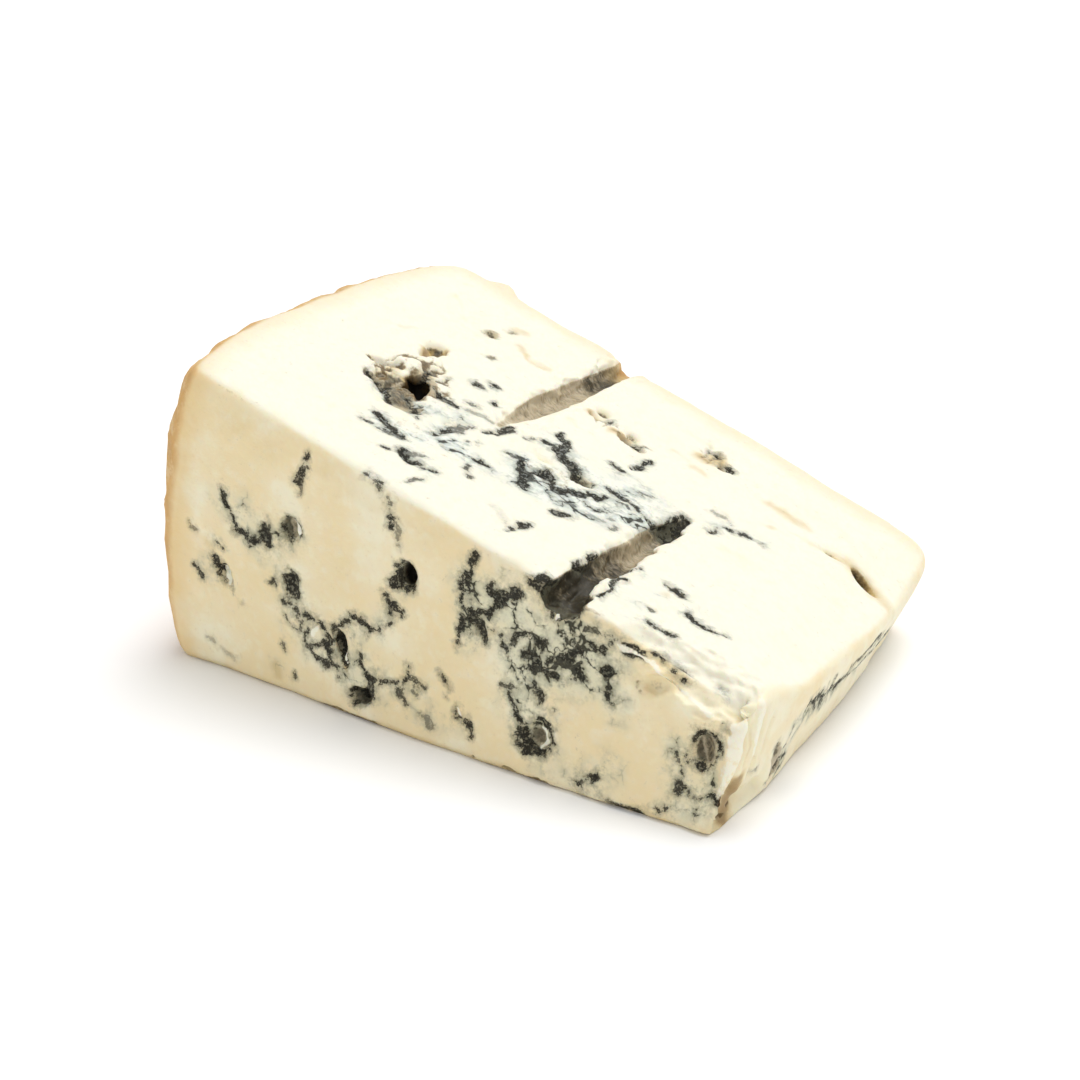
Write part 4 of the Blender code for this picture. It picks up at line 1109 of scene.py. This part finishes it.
    def crumbled(self, points: np.ndarray, depths: Depths) -> np.ndarray:
        """Crevices between the crumbs of the crags.

        Args:
            points: places in mm.
            depths: distances under the faces in mm.
        Returns:
            Values from 0 to 1.
        """
        total = np.zeros(len(points))
        for crag in CRAGS:
            off = np.hypot((points[:, 0] - crag.centre[0]) / crag.radii[0],
                           (points[:, 1] - crag.centre[1]) / crag.radii[1])
            near = np.flatnonzero((off < 1.15) & (depths[Face.TOP] < self.crag_top))
            here = points[near] + 0.7 * rumple(points[near], 1.7, 103.0)[:, None]
            distances = np.array([noise.voronoi(Vector(place / self.crumb_size))[0][:2] for place in here])
            crevice = soft_step(0.3, 0.04, distances[:, 1] - distances[:, 0])
            crevice *= soft_step(1.1, 0.6, off[near]) * crag.strength
            crevice *= soft_step(-0.35, 0.35, rumple(points[near], 3.6, 107.0))
            total[near] = np.maximum(total[near], crevice)
        return total

    def torn_edge(self, points: np.ndarray, depths: Depths) -> np.ndarray:
        """Moves that tear away the edge between the front and top cuts near the tip.

        Args:
            points: places in mm.
            depths: distances under the faces in mm.
        Returns:
            Moves in mm.
        """
        x = points[:, 0]
        stretch = soft_step(self.tear_start, self.tear_start + 8, x)
        ragged = 1 + 0.3 * rumple(points, 4.0, 83.0) + 0.12 * rumple(points, 1.4, 85.0)
        width = self.tear_width * stretch * ragged
        width += soft_step(26, 50, x) * (0.25 + 0.6 * np.abs(rumple(points, 3.4, 89.0)))
        width += 2.4 * soft_step(93, 101, x)
        near = depths[Face.FRONT] * 0.9 + depths[Face.TOP]
        amount = np.clip(width - near, 0, None) * 0.6
        amount *= soft_step(0.0, 2.5, depths[Face.TIP])
        return amount[:, None] * np.array([0.0, 0.70, -0.70])

    def folded(self, points: np.ndarray, depths: Depths) -> np.ndarray:
        """Moves that crease and round the corner between the front cut and the tip.

        Args:
            points: places in mm.
            depths: distances under the faces in mm.
        Returns:
            Moves in mm.
        """
        around = np.where(depths[Face.TIP] < depths[Face.FRONT], depths[Face.FRONT], -depths[Face.TIP])
        around = around + 0.2 * rumple(points, 4.0, 97.0)
        depth = sum(fold.depth_at(around, points[:, 2]) for fold in FOLDS)
        depth *= soft_step(4.0, 2.0, np.minimum(depths[Face.TIP], depths[Face.FRONT]))
        depth *= 1 + 0.15 * rumple(points, 2.0, 101.0)
        turned = 0.5 * math.pi * soft_step(-2.0, 2.0, around)
        aim = np.stack([-np.sin(turned), np.cos(turned), np.zeros(len(points))], axis=1)
        moves = aim * depth[:, None]
        radius = self.corner_radius
        under = np.stack([depths[Face.TIP], depths[Face.FRONT], depths[Face.TOP]], axis=1)
        lean = np.clip(radius - under, 0, None)
        reach = np.linalg.norm(lean, axis=1)
        away = np.hypot(np.clip(under[:, 0], 0, None) / self.corner_reach[0],
                        np.clip(under[:, 1], 0, None) / self.corner_reach[1])
        inward = (reach - radius) * soft_step(1.0, 0.6, away) / np.maximum(reach, 0.2)
        moves += lean * inward[:, None] * np.array([-1.0, 1.0, -1.0])
        above = np.clip(points[:, 2] - self.shoulder, 0, None)
        moves[:, 2] -= soft_step(1.0, 0.4, away) * above * self.shoulder_fall
        return moves

    def frayed(self, points: np.ndarray) -> np.ndarray:
        """Moves that make the edges of the two open channels uneven.

        Args:
            points: places in mm.
        Returns:
            Moves in mm.
        """
        x, y, _ = points.T
        share = np.zeros(len(points))
        for middle, closed, fully_open in (self.far_channel, self.near_channel):
            beside = soft_step(*self.channel_edge, np.abs(x - middle))
            share += beside * soft_step(closed, fully_open, y)
        sway = 0.5 * rumple(points, 2.6, 109.0) + 0.3 * rumple(points, 1.1, 113.0)
        return (share * sway)[:, None] * np.array([1.0, 0.2, 0.4])

    def write(self, mesh: bpy.types.Mesh, points: np.ndarray, origin: np.ndarray, node_name: str) -> None:
        """Puts the points back in metres, filling the solid's own box.

        Args:
            mesh: the mesh that changes.
            points: places in mm from the measuring corner.
            origin: the measuring corner, in mm.
            node_name: the solid whose box is kept.
        """
        low, high = (np.array(corner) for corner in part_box(node_name))
        placed = (points + origin) * MILLIMETRE
        lowest = placed.min(axis=0)
        highest = placed.max(axis=0)
        self.store(mesh, low + (placed - lowest) * (high - low) / (highest - lowest))


class Field:
    """A number socket that takes part in Python expressions."""

    def __init__(self, tree: "Graph", socket: bpy.types.NodeSocket) -> None:
        """Keeps the socket and the graph that it belongs to."""
        self.tree = tree
        self.socket = socket

    def maths(self, operation: str, *values: Any) -> "Field":
        """A Math node on this graph."""
        return self.tree.maths(operation, *values)

    def __add__(self, other: Any) -> "Field":
        """Sum."""
        return self.maths("ADD", self, other)

    __radd__ = __add__

    def __mul__(self, other: Any) -> "Field":
        """Product."""
        return self.maths("MULTIPLY", self, other)

    __rmul__ = __mul__

    def __sub__(self, other: Any) -> "Field":
        """Difference."""
        return self.maths("SUBTRACT", self, other)

    def __rsub__(self, other: Any) -> "Field":
        """Difference the other way round."""
        return self.maths("SUBTRACT", other, self)

    def step(self, low: float, high: float) -> "Field":
        """A smooth rise from 0 at low to 1 at high."""
        made = self.tree.node(
            "ShaderNodeMapRange",
            {"interpolation_type": "SMOOTHSTEP"},
            {"Value": self, "From Min": low, "From Max": high},
        )
        return Field(self.tree, made.outputs[0])

    def peak(self, other: Any) -> "Field":
        """The larger of two values."""
        return self.maths("MAXIMUM", self, other)


class Graph:
    """A material's node tree, with the few ways of adding to it."""

    def __init__(self, name: str) -> None:
        """Starts a material with only its output."""
        self.material = bpy.data.materials.new(name)
        self.material.use_nodes = True
        self.tree = self.material.node_tree
        self.tree.nodes.clear()
        self.output = self.node("ShaderNodeOutputMaterial")

    def node(self, kind: str, settings: dict[str, Any] | None = None,
             sockets: Sockets | None = None) -> bpy.types.Node:
        """Adds a node.

        Args:
            kind: the node's type.
            settings: its properties, set first.
            sockets: values or links of its inputs, by name or number.
        Returns:
            The new node.
        """
        made = self.tree.nodes.new(kind)
        for key, value in (settings or {}).items():
            setattr(made, key, value)
        for key, value in (sockets or {}).items():
            if isinstance(value, Field):
                value = value.socket
            if isinstance(value, bpy.types.NodeSocket):
                self.tree.links.new(value, made.inputs[key])
            else:
                made.inputs[key].default_value = value
        return made

    def maths(self, operation: str, *values: Any) -> Field:
        """A Math node on numbers and fields."""
        made = self.node("ShaderNodeMath", {"operation": operation}, dict(enumerate(values)))
        return Field(self, made.outputs[0])

    def mark(self, name: str) -> Field:
        """An attribute of the mesh."""
        return Field(self, self.node("ShaderNodeAttribute", {"attribute_name": name}).outputs["Fac"])

    def mix(self, share: Any, first: Any, second: Any) -> bpy.types.NodeSocket:
        """A colour between two colours, each a socket or screen values."""
        ends = [paint(*end) if isinstance(end, tuple) else end for end in (first, second)]
        made = self.node("ShaderNodeMix", {"data_type": "RGBA"}, {0: share, 6: ends[0], 7: ends[1]})
        return made.outputs[2]

    def either(self, share: Any, first: Any, second: Any) -> bpy.types.NodeSocket:
        """A vector between two vectors."""
        made = self.node("ShaderNodeMix", {"data_type": "VECTOR"}, {0: share, 4: first, 5: second})
        return made.outputs[1]

    def stirred(self, vector: Any, size: float, amount: float) -> bpy.types.NodeSocket:
        """A vector moved about by noise.

        Args:
            vector: where it is read, in mm.
            size: width of a swirl in mm.
            amount: how far it moves, in mm.
        Returns:
            The moved vector.
        """
        swirl = self.node("ShaderNodeTexNoise", None, {"Vector": vector, "Scale": 1 / size, "Detail": 2.0})
        made = self.node("ShaderNodeVectorMath", {"operation": "MULTIPLY_ADD"}, {
            0: swirl.outputs["Color"], 1: (amount,) * 3, 2: vector,
        })
        return made.outputs[0]

    def scaled(self, vector: Any, factors: Triple) -> bpy.types.NodeSocket:
        """A vector multiplied part by part."""
        made = self.node("ShaderNodeVectorMath", {"operation": "MULTIPLY"}, {0: vector, 1: factors})
        return made.outputs[0]

    def noise(self, vector: Any, size: float, detail: float = 3.0, roughness: float = 0.55) -> Field:
        """Cloudy noise.

        Args:
            vector: where it is read, in mm.
            size: width of a cloud in mm.
            detail: octaves.
            roughness: strength of the finer octaves.
        Returns:
            Values round 0.5.
        """
        made = self.node("ShaderNodeTexNoise", None, {
            "Vector": vector, "Scale": 1 / size, "Detail": detail, "Roughness": roughness,
        })
        return Field(self, made.outputs[0])

    def cells(self, vector: Any, size: float) -> Field:
        """Distance from the walls of random cells, as a share of a cell."""
        made = self.node("ShaderNodeTexVoronoi", {"feature": "DISTANCE_TO_EDGE"}, {
            "Vector": vector, "Scale": 1 / size,
        })
        return Field(self, made.outputs["Distance"])

    def bump(self, height: Field, strength: float) -> bpy.types.NodeSocket:
        """A normal bent by a height in mm."""
        made = self.node("ShaderNodeBump", None, {
            "Strength": strength, "Distance": MILLIMETRE, "Height": height,
        })
        return made.outputs[0]


def paint(red: int, green: int, blue: int) -> tuple[float, float, float, float]:
    """A colour as Blender's nodes take it, from screen values of 0 to 255."""
    linear = []
    for value in (red, green, blue):
        share = value / 255
        linear.append(share / 12.92 if share <= 0.04045 else ((share + 0.055) / 1.055)**2.4)
    return (linear[0], linear[1], linear[2], 1.0)


@dataclass(frozen=True)
class CheeseFinish:
    """Moist pale paste with blue-grey mould, khaki to black hollows darkened with depth as painted shade, and
    a thin golden rind.

    Sizes are in mm and colours are screen values.
    """

    island: float = 3.8
    swirl: Pair = (2.2, 3.4)
    stretch: Triple = (0.66, 1.0, 1.0)
    paste: Tone = (241, 233, 204)
    # paste_warm serves random warm patches and the painted warm shade on the front cut; paste_pale serves
    # pale crumbs and the painted light on the top cut and the corner lobes.
    paste_warm: Tone = (237, 219, 176)
    paste_pale: Tone = (243, 239, 220)
    # Front and top copies of one cool tint: the warmer, darker front copy is painted shade, the paler, cooler
    # top copy painted light.
    cool_shaded_front: Tone = (216, 214, 188)
    cool_lit_top: Tone = (230, 236, 229)
    mould_dark: Tone = (28, 26, 20)
    mould_grey: Tone = (74, 70, 56)
    # Front and top copies of the fringe and haze tints: painted shade on the front, painted light on the top.
    fringe_shaded_front: Tone = (122, 121, 100)
    fringe_lit_top: Tone = (134, 138, 126)
    haze_shaded_front: Tone = (142, 142, 118)
    haze_lit_top: Tone = (164, 174, 166)
    khaki: Tone = (210, 184, 126)
    tan: Tone = (150, 118, 68)
    crag: Tone = (180, 164, 128)
    umber: Tone = (112, 90, 56)
    pitch: Tone = (30, 26, 21)
    felt_pale: Tone = (192, 178, 150)
    felt: Tone = (140, 128, 104)
    felt_dark: Tone = (64, 59, 46)
    rind: Tone = (210, 168, 108)
    rind_brown: Tone = (190, 146, 90)
    rind_bloom: Tone = (228, 202, 154)
    under_rind: Tone = (228, 198, 140)

    def material(self) -> bpy.types.Material:
        """Builds the node material.

        Returns:
            The finished material.
        """
        graph = Graph("marbled_paste")
        place = graph.node("ShaderNodeTexCoord").outputs["Object"]
        place = graph.scaled(place, (1 / MILLIMETRE,) * 3)
        lid = graph.mark("lid")
        spot = graph.either(lid.step(0.45, 0.55), place, graph.scaled(place, self.stretch))
        ragged = graph.noise(spot, 1.2, 5.0, 0.78) - 0.5
        patchy = graph.noise(spot, 3.0, 3.0, 0.55) - 0.5
        mottle = graph.noise(spot, 0.6, 3.0, 0.65)
        seam = graph.cells(graph.stirred(spot, *self.swirl), self.island) * self.island
        haze = graph.mark("smoke")
        stain_and_shade = graph.mark("stain_and_shade")
        colour = self.paste_colour(graph, place, lid)
        cool = (haze + patchy * 0.5).step(0.12, 0.75)
        # The lid mask swaps the front's shaded copy of each tint for the top's lit copy.
        cool_tone = graph.mix(lid, self.cool_shaded_front, self.cool_lit_top)
        colour = graph.mix(cool * 0.75, colour, cool_tone)
        veil = haze.step(0.05, 0.8) * (1 - seam.step(0.0, 1.5) * 0.85) * (patchy * 2 + mottle).step(0.2, 0.75)
        # Haze tint: shaded copy on the front, lit copy on the top.
        haze_tone = graph.mix(lid, self.haze_shaded_front, self.haze_lit_top)
        colour = graph.mix(veil * 0.8, colour, haze_tone)
        # Khaki and tan stains, partly real and partly painted shade in hollows and along the foot.
        stain_and_shade_amount = (stain_and_shade + patchy * 0.6).step(0.06, 1.0) * stain_and_shade.step(0.0, 0.2)
        stain_and_shade_tone = graph.mix((stain_and_shade + mottle * 0.3).step(0.75, 1.15), self.khaki, self.tan)
        colour = graph.mix(stain_and_shade_amount * 0.85, colour, stain_and_shade_tone)
        colour = self.with_hollows(graph, colour, stain_and_shade, mottle)
        colour = self.with_lining(graph, place, patchy, colour)
        # Cracks and crevices go khaki, umber and near black, partly painted shade in the crevice.
        broken = graph.mark("crack") + ragged * 1.1
        shade = graph.mix(broken.step(0.5, 0.85), self.umber, self.pitch)
        shade = graph.mix(broken.step(0.2, 0.5), self.crag, shade)
        colour = graph.mix(broken.step(0.08, 0.45) * 0.9, colour, shade)
        drawn = graph.mark("vein") + ragged * 3.0 + patchy * 2.4
        ink = graph.mark("ink")
        threads = haze * 2.2 - 1.15 + patchy * 2.8 - seam * 1.7 + ragged * 1.6
        smudge = (drawn.step(-1.1, 0.3) * ink).peak(threads.step(-0.6, 0.2) * 0.6)
        core = (drawn.step(-0.1, 0.2) * ink.step(0.1, 0.75)).peak(threads.step(0.0, 0.22) * 0.9)
        # Pale crumbs, also the painted light on the corner lobes.
        crumbs = (graph.mark("crumb_and_light") + ragged).step(0.25, 0.5)
        clean = (1 - (mottle + drawn * 0.1).step(0.58, 0.68) * 0.35) * (1 - crumbs)
        # Fringe tint: shaded copy on the front, lit copy on the top.
        fringe = graph.mix(lid, self.fringe_shaded_front, self.fringe_lit_top)
        colour = graph.mix(smudge * clean * 0.68, colour, fringe)
        depth = drawn.peak(threads) * 0.4 + mottle
        dark = graph.mix(depth.step(0.42, 0.66), self.mould_grey, self.mould_dark)
        mould = core * clean
        colour = graph.mix(mould * 0.96, colour, dark)
        colour = graph.mix(crumbs, colour, self.paste_pale)
        crust = graph.mark("crust")
        crust_noise = patchy * 0.9
        rind_amount = (1 - (crust + crust_noise + lid * 1.6).step(0.9, 3.0)) * (1 - lid * 0.7)
        warm_amount = (1 - (crust + crust_noise * 3).step(1.5, 8.5)) * (0.75 - lid * 0.4)
        colour = graph.mix(warm_amount, colour, self.under_rind)
        colour = graph.mix(rind_amount, colour, self.rind_colour(graph, place, mottle))
        height = self.relief(graph, place, mottle)
        shader = graph.node("ShaderNodeBsdfPrincipled", None, {
            "Base Color": colour,
            "Roughness": 0.44 + mould * 0.3 + rind_amount * 0.22 + patchy * 0.3,
            "Normal": graph.bump(height, 0.9),
            "Subsurface Weight": 0.35,
            "Subsurface Radius": (1.0, 0.62, 0.3),
            "Subsurface Scale": 1.1 * MILLIMETRE,
            "Specular IOR Level": 0.26,
            "IOR": 1.4,
        })
        graph.tree.links.new(shader.outputs[0], graph.output.inputs[0])
        return graph.material

    def paste_colour(self, graph: Graph, place: bpy.types.NodeSocket, lid: Field) -> bpy.types.NodeSocket:
        """Cream paste with random warm patches, warmer on the front cut as painted warm shade and paler on
        the top as painted light.

        Args:
            graph: the material's graph.
            place: places in mm.
            lid: how far a place is on the top cut.
        Returns:
            The colour.
        """
        broad = graph.noise(place, 13.0, 2.0, 0.5)
        fine = graph.noise(place, 2.4, 3.0, 0.6)
        # Broad noise gives real warm patches; the cut mask adds painted warm shade on the front cut, and the
        # lid mask takes a little warmth off the top.
        warmth_and_front_shade = (broad + (fine - 0.5) * 0.5 + graph.mark("cut") * 0.12 - lid * 0.06).step(0.4, 0.7)
        colour = graph.mix(warmth_and_front_shade, self.paste, self.paste_warm)
        # Fine noise gives real pale spots; the lid mask makes the whole top cut paler, painted light.
        return graph.mix((fine * 0.7 + lid * 0.4).step(0.3, 0.8), colour, self.paste_pale)

    def with_hollows(self, graph: Graph, colour: bpy.types.NodeSocket, stain_and_shade: Field,
                     mottle: Field) -> bpy.types.NodeSocket:
        """Colours the hollows, brown where stained and nearly black where mouldy, both darker with depth as
        painted shade.

        Args:
            graph: the material's graph.
            colour: the colour so far.
            stain_and_shade: how khaki a place is.
            mottle: fine noise.
        Returns:
            The new colour.
        """
        # Deeper in a hollow the colour runs from khaki to umber and from felt to near black: painted shade.
        pit = graph.mark("pit") + (mottle - 0.5) * 2.6
        brown = graph.mix(pit.step(0.9, 2.8), self.khaki, self.umber)
        black = graph.mix(pit.step(0.7, 2.4), self.felt, self.pitch)
        inside = graph.mix(stain_and_shade.step(0.15, 0.6), black, brown)
        return graph.mix((graph.mark("hollow") + (mottle - 0.5) * 0.6).step(0.12, 0.6), colour, inside)

    def with_lining(self, graph: Graph, place: bpy.types.NodeSocket, patchy: Field,
                    colour: bpy.types.NodeSocket) -> bpy.types.NodeSocket:
        """Colours the grey felt in the needle channels, with fibres across it.

        Args:
            graph: the material's graph.
            place: places in mm.
            patchy: broad noise round 0.
            colour: the colour so far.
        Returns:
            The new colour.
        """
        amount = graph.mark("lining")
        fibre = graph.noise(graph.scaled(place, (0.7, 2.6, 1.0)), 1.0, 3.0, 0.7) - 0.5
        tone = amount + fibre * 0.8 + patchy * 0.5
        grey = graph.mix(tone.step(0.6, 0.92), self.felt, self.felt_dark)
        grey = graph.mix(tone.step(0.42, 0.72), self.felt_pale, grey)
        return graph.mix((amount + fibre * 0.5).step(0.15, 0.42), colour, grey)

    def rind_colour(self, graph: Graph, place: bpy.types.NodeSocket, mottle: Field) -> bpy.types.NodeSocket:
        """Golden rind with brown blotches and a pale bloom.

        Args:
            graph: the material's graph.
            place: places in mm.
            mottle: fine noise.
        Returns:
            The colour.
        """
        blotch = graph.noise(place, 9.0, 4.0, 0.62)
        grain = graph.noise(place, 2.8, 2.0, 0.6) + (mottle - 0.5) * 0.5
        colour = graph.mix(blotch.step(0.42, 0.68), self.rind, self.rind_brown)
        colour = graph.mix(grain.step(0.48, 0.72) * 0.6, colour, self.rind_bloom)
        return graph.mix((1 - mottle.step(0.3, 0.44)) * 0.5, colour, self.rind_brown)

    def relief(self, graph: Graph, place: bpy.types.NodeSocket, mottle: Field) -> Field:
        """Fine height in mm: curd grain, sunken mould and rough rind.

        Args:
            graph: the material's graph.
            place: places in mm.
            mottle: fine noise.
        Returns:
            Height in mm.
        """
        curd = graph.noise(place, 1.8, 2.0, 0.55)
        sunk = (graph.mark("vein") + (mottle - 0.5) * 2.4).step(-0.5, 0.4)
        rough = 1 - graph.mark("crust").step(0.2, 1.2)
        return curd * 0.14 + mottle * (sunk * 0.16 + rough * 0.2 + 0.05) - sunk * 0.22


@dataclass(frozen=True)
class Studio:
    """A white floor, a broad lamp high up toward the back and even light from all round."""

    floor_radius: float = 6.0
    floor_sides: int = 96
    floor_tone: int = 251
    lamp_from: Triple = (0.10, 0.28, 0.95)
    lamp_power: float = 1.76
    lamp_spread: float = 36.0
    sky: float = 0.69

    def build(self) -> None:
        """Makes the floor, the lamp and the world."""
        disc = bmesh.new()
        bmesh.ops.create_circle(disc, cap_ends=True, segments=self.floor_sides, radius=self.floor_radius)
        mesh = bpy.data.meshes.new("studio_floor")
        disc.to_mesh(mesh)
        disc.free()
        floor = bpy.data.objects.new("studio_floor", mesh)
        bpy.context.scene.collection.objects.link(floor)
        graph = Graph("pale_floor")
        tone = paint(self.floor_tone, self.floor_tone, self.floor_tone)
        shader = graph.node("ShaderNodeBsdfPrincipled", None, {
            "Base Color": tone, "Roughness": 0.9, "Specular IOR Level": 0.1,
        })
        graph.tree.links.new(shader.outputs[0], graph.output.inputs[0])
        mesh.materials.append(graph.material)
        lamp = bpy.data.lights.new("window_lamp", "SUN")
        lamp.energy = self.lamp_power
        lamp.angle = math.radians(self.lamp_spread)
        holder = bpy.data.objects.new("window_lamp", lamp)
        holder.rotation_euler = Vector(self.lamp_from).to_track_quat("Z", "Y").to_euler()
        bpy.context.scene.collection.objects.link(holder)
        world = bpy.data.worlds.new("white_room")
        world.use_nodes = True
        back = world.node_tree.nodes["Background"]
        back.inputs["Color"].default_value = (1.0, 1.0, 1.0, 1.0)
        back.inputs["Strength"].default_value = self.sky
        bpy.context.scene.world = world
        bpy.context.scene.view_settings.view_transform = "Standard"


@dataclass(frozen=True)
class PhotoCamera:
    """The camera at the photograph's angle, aimed at a point inside the wedge."""

    azimuth: float = 31.8
    elevation: float = 23.2
    distance: float = 0.301
    target: Triple = (0.00414, -0.00795, 0.0236)
    lens: float = 60.0
    sensor: float = 36.0
    clip: Pair = (0.01, 50.0)

    def build(self) -> None:
        """Makes the camera and hands it to the scene."""
        turn = math.radians(self.azimuth)
        lift = math.radians(self.elevation)
        ahead = Vector((-math.sin(turn) * math.cos(lift), math.cos(turn) * math.cos(lift), -math.sin(lift)))
        lens = bpy.data.cameras.new("photo_camera")
        lens.lens = self.lens
        lens.sensor_width = self.sensor
        lens.sensor_height = self.sensor
        lens.clip_start, lens.clip_end = self.clip
        camera = bpy.data.objects.new("photo_camera", lens)
        camera.location = Vector(self.target) - ahead * self.distance
        camera.rotation_euler = ahead.to_track_quat("-Z", "Y").to_euler()
        bpy.context.scene.collection.objects.link(camera)
        bpy.context.scene.camera = camera


def main() -> None:
    """Builds the wedge, its finish, the studio and the camera."""
    node_name = "gorgonzola_wedge"
    body = PasteBody()
    wedge = body.build(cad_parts[node_name])
    wedge.data.materials.append(CheeseFinish().material())
    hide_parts(node_name)
    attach(wedge, "root")
    log.info("%s: %d faces, %d points", wedge.name, len(wedge.data.polygons), len(wedge.data.vertices))
    Studio().build()
    log.info("studio: floor, lamp and world")
    PhotoCamera().build()
    log.info("camera: %.1f degrees round, %.1f up", PhotoCamera.azimuth, PhotoCamera.elevation)


if __name__ == "__main__":
    main()
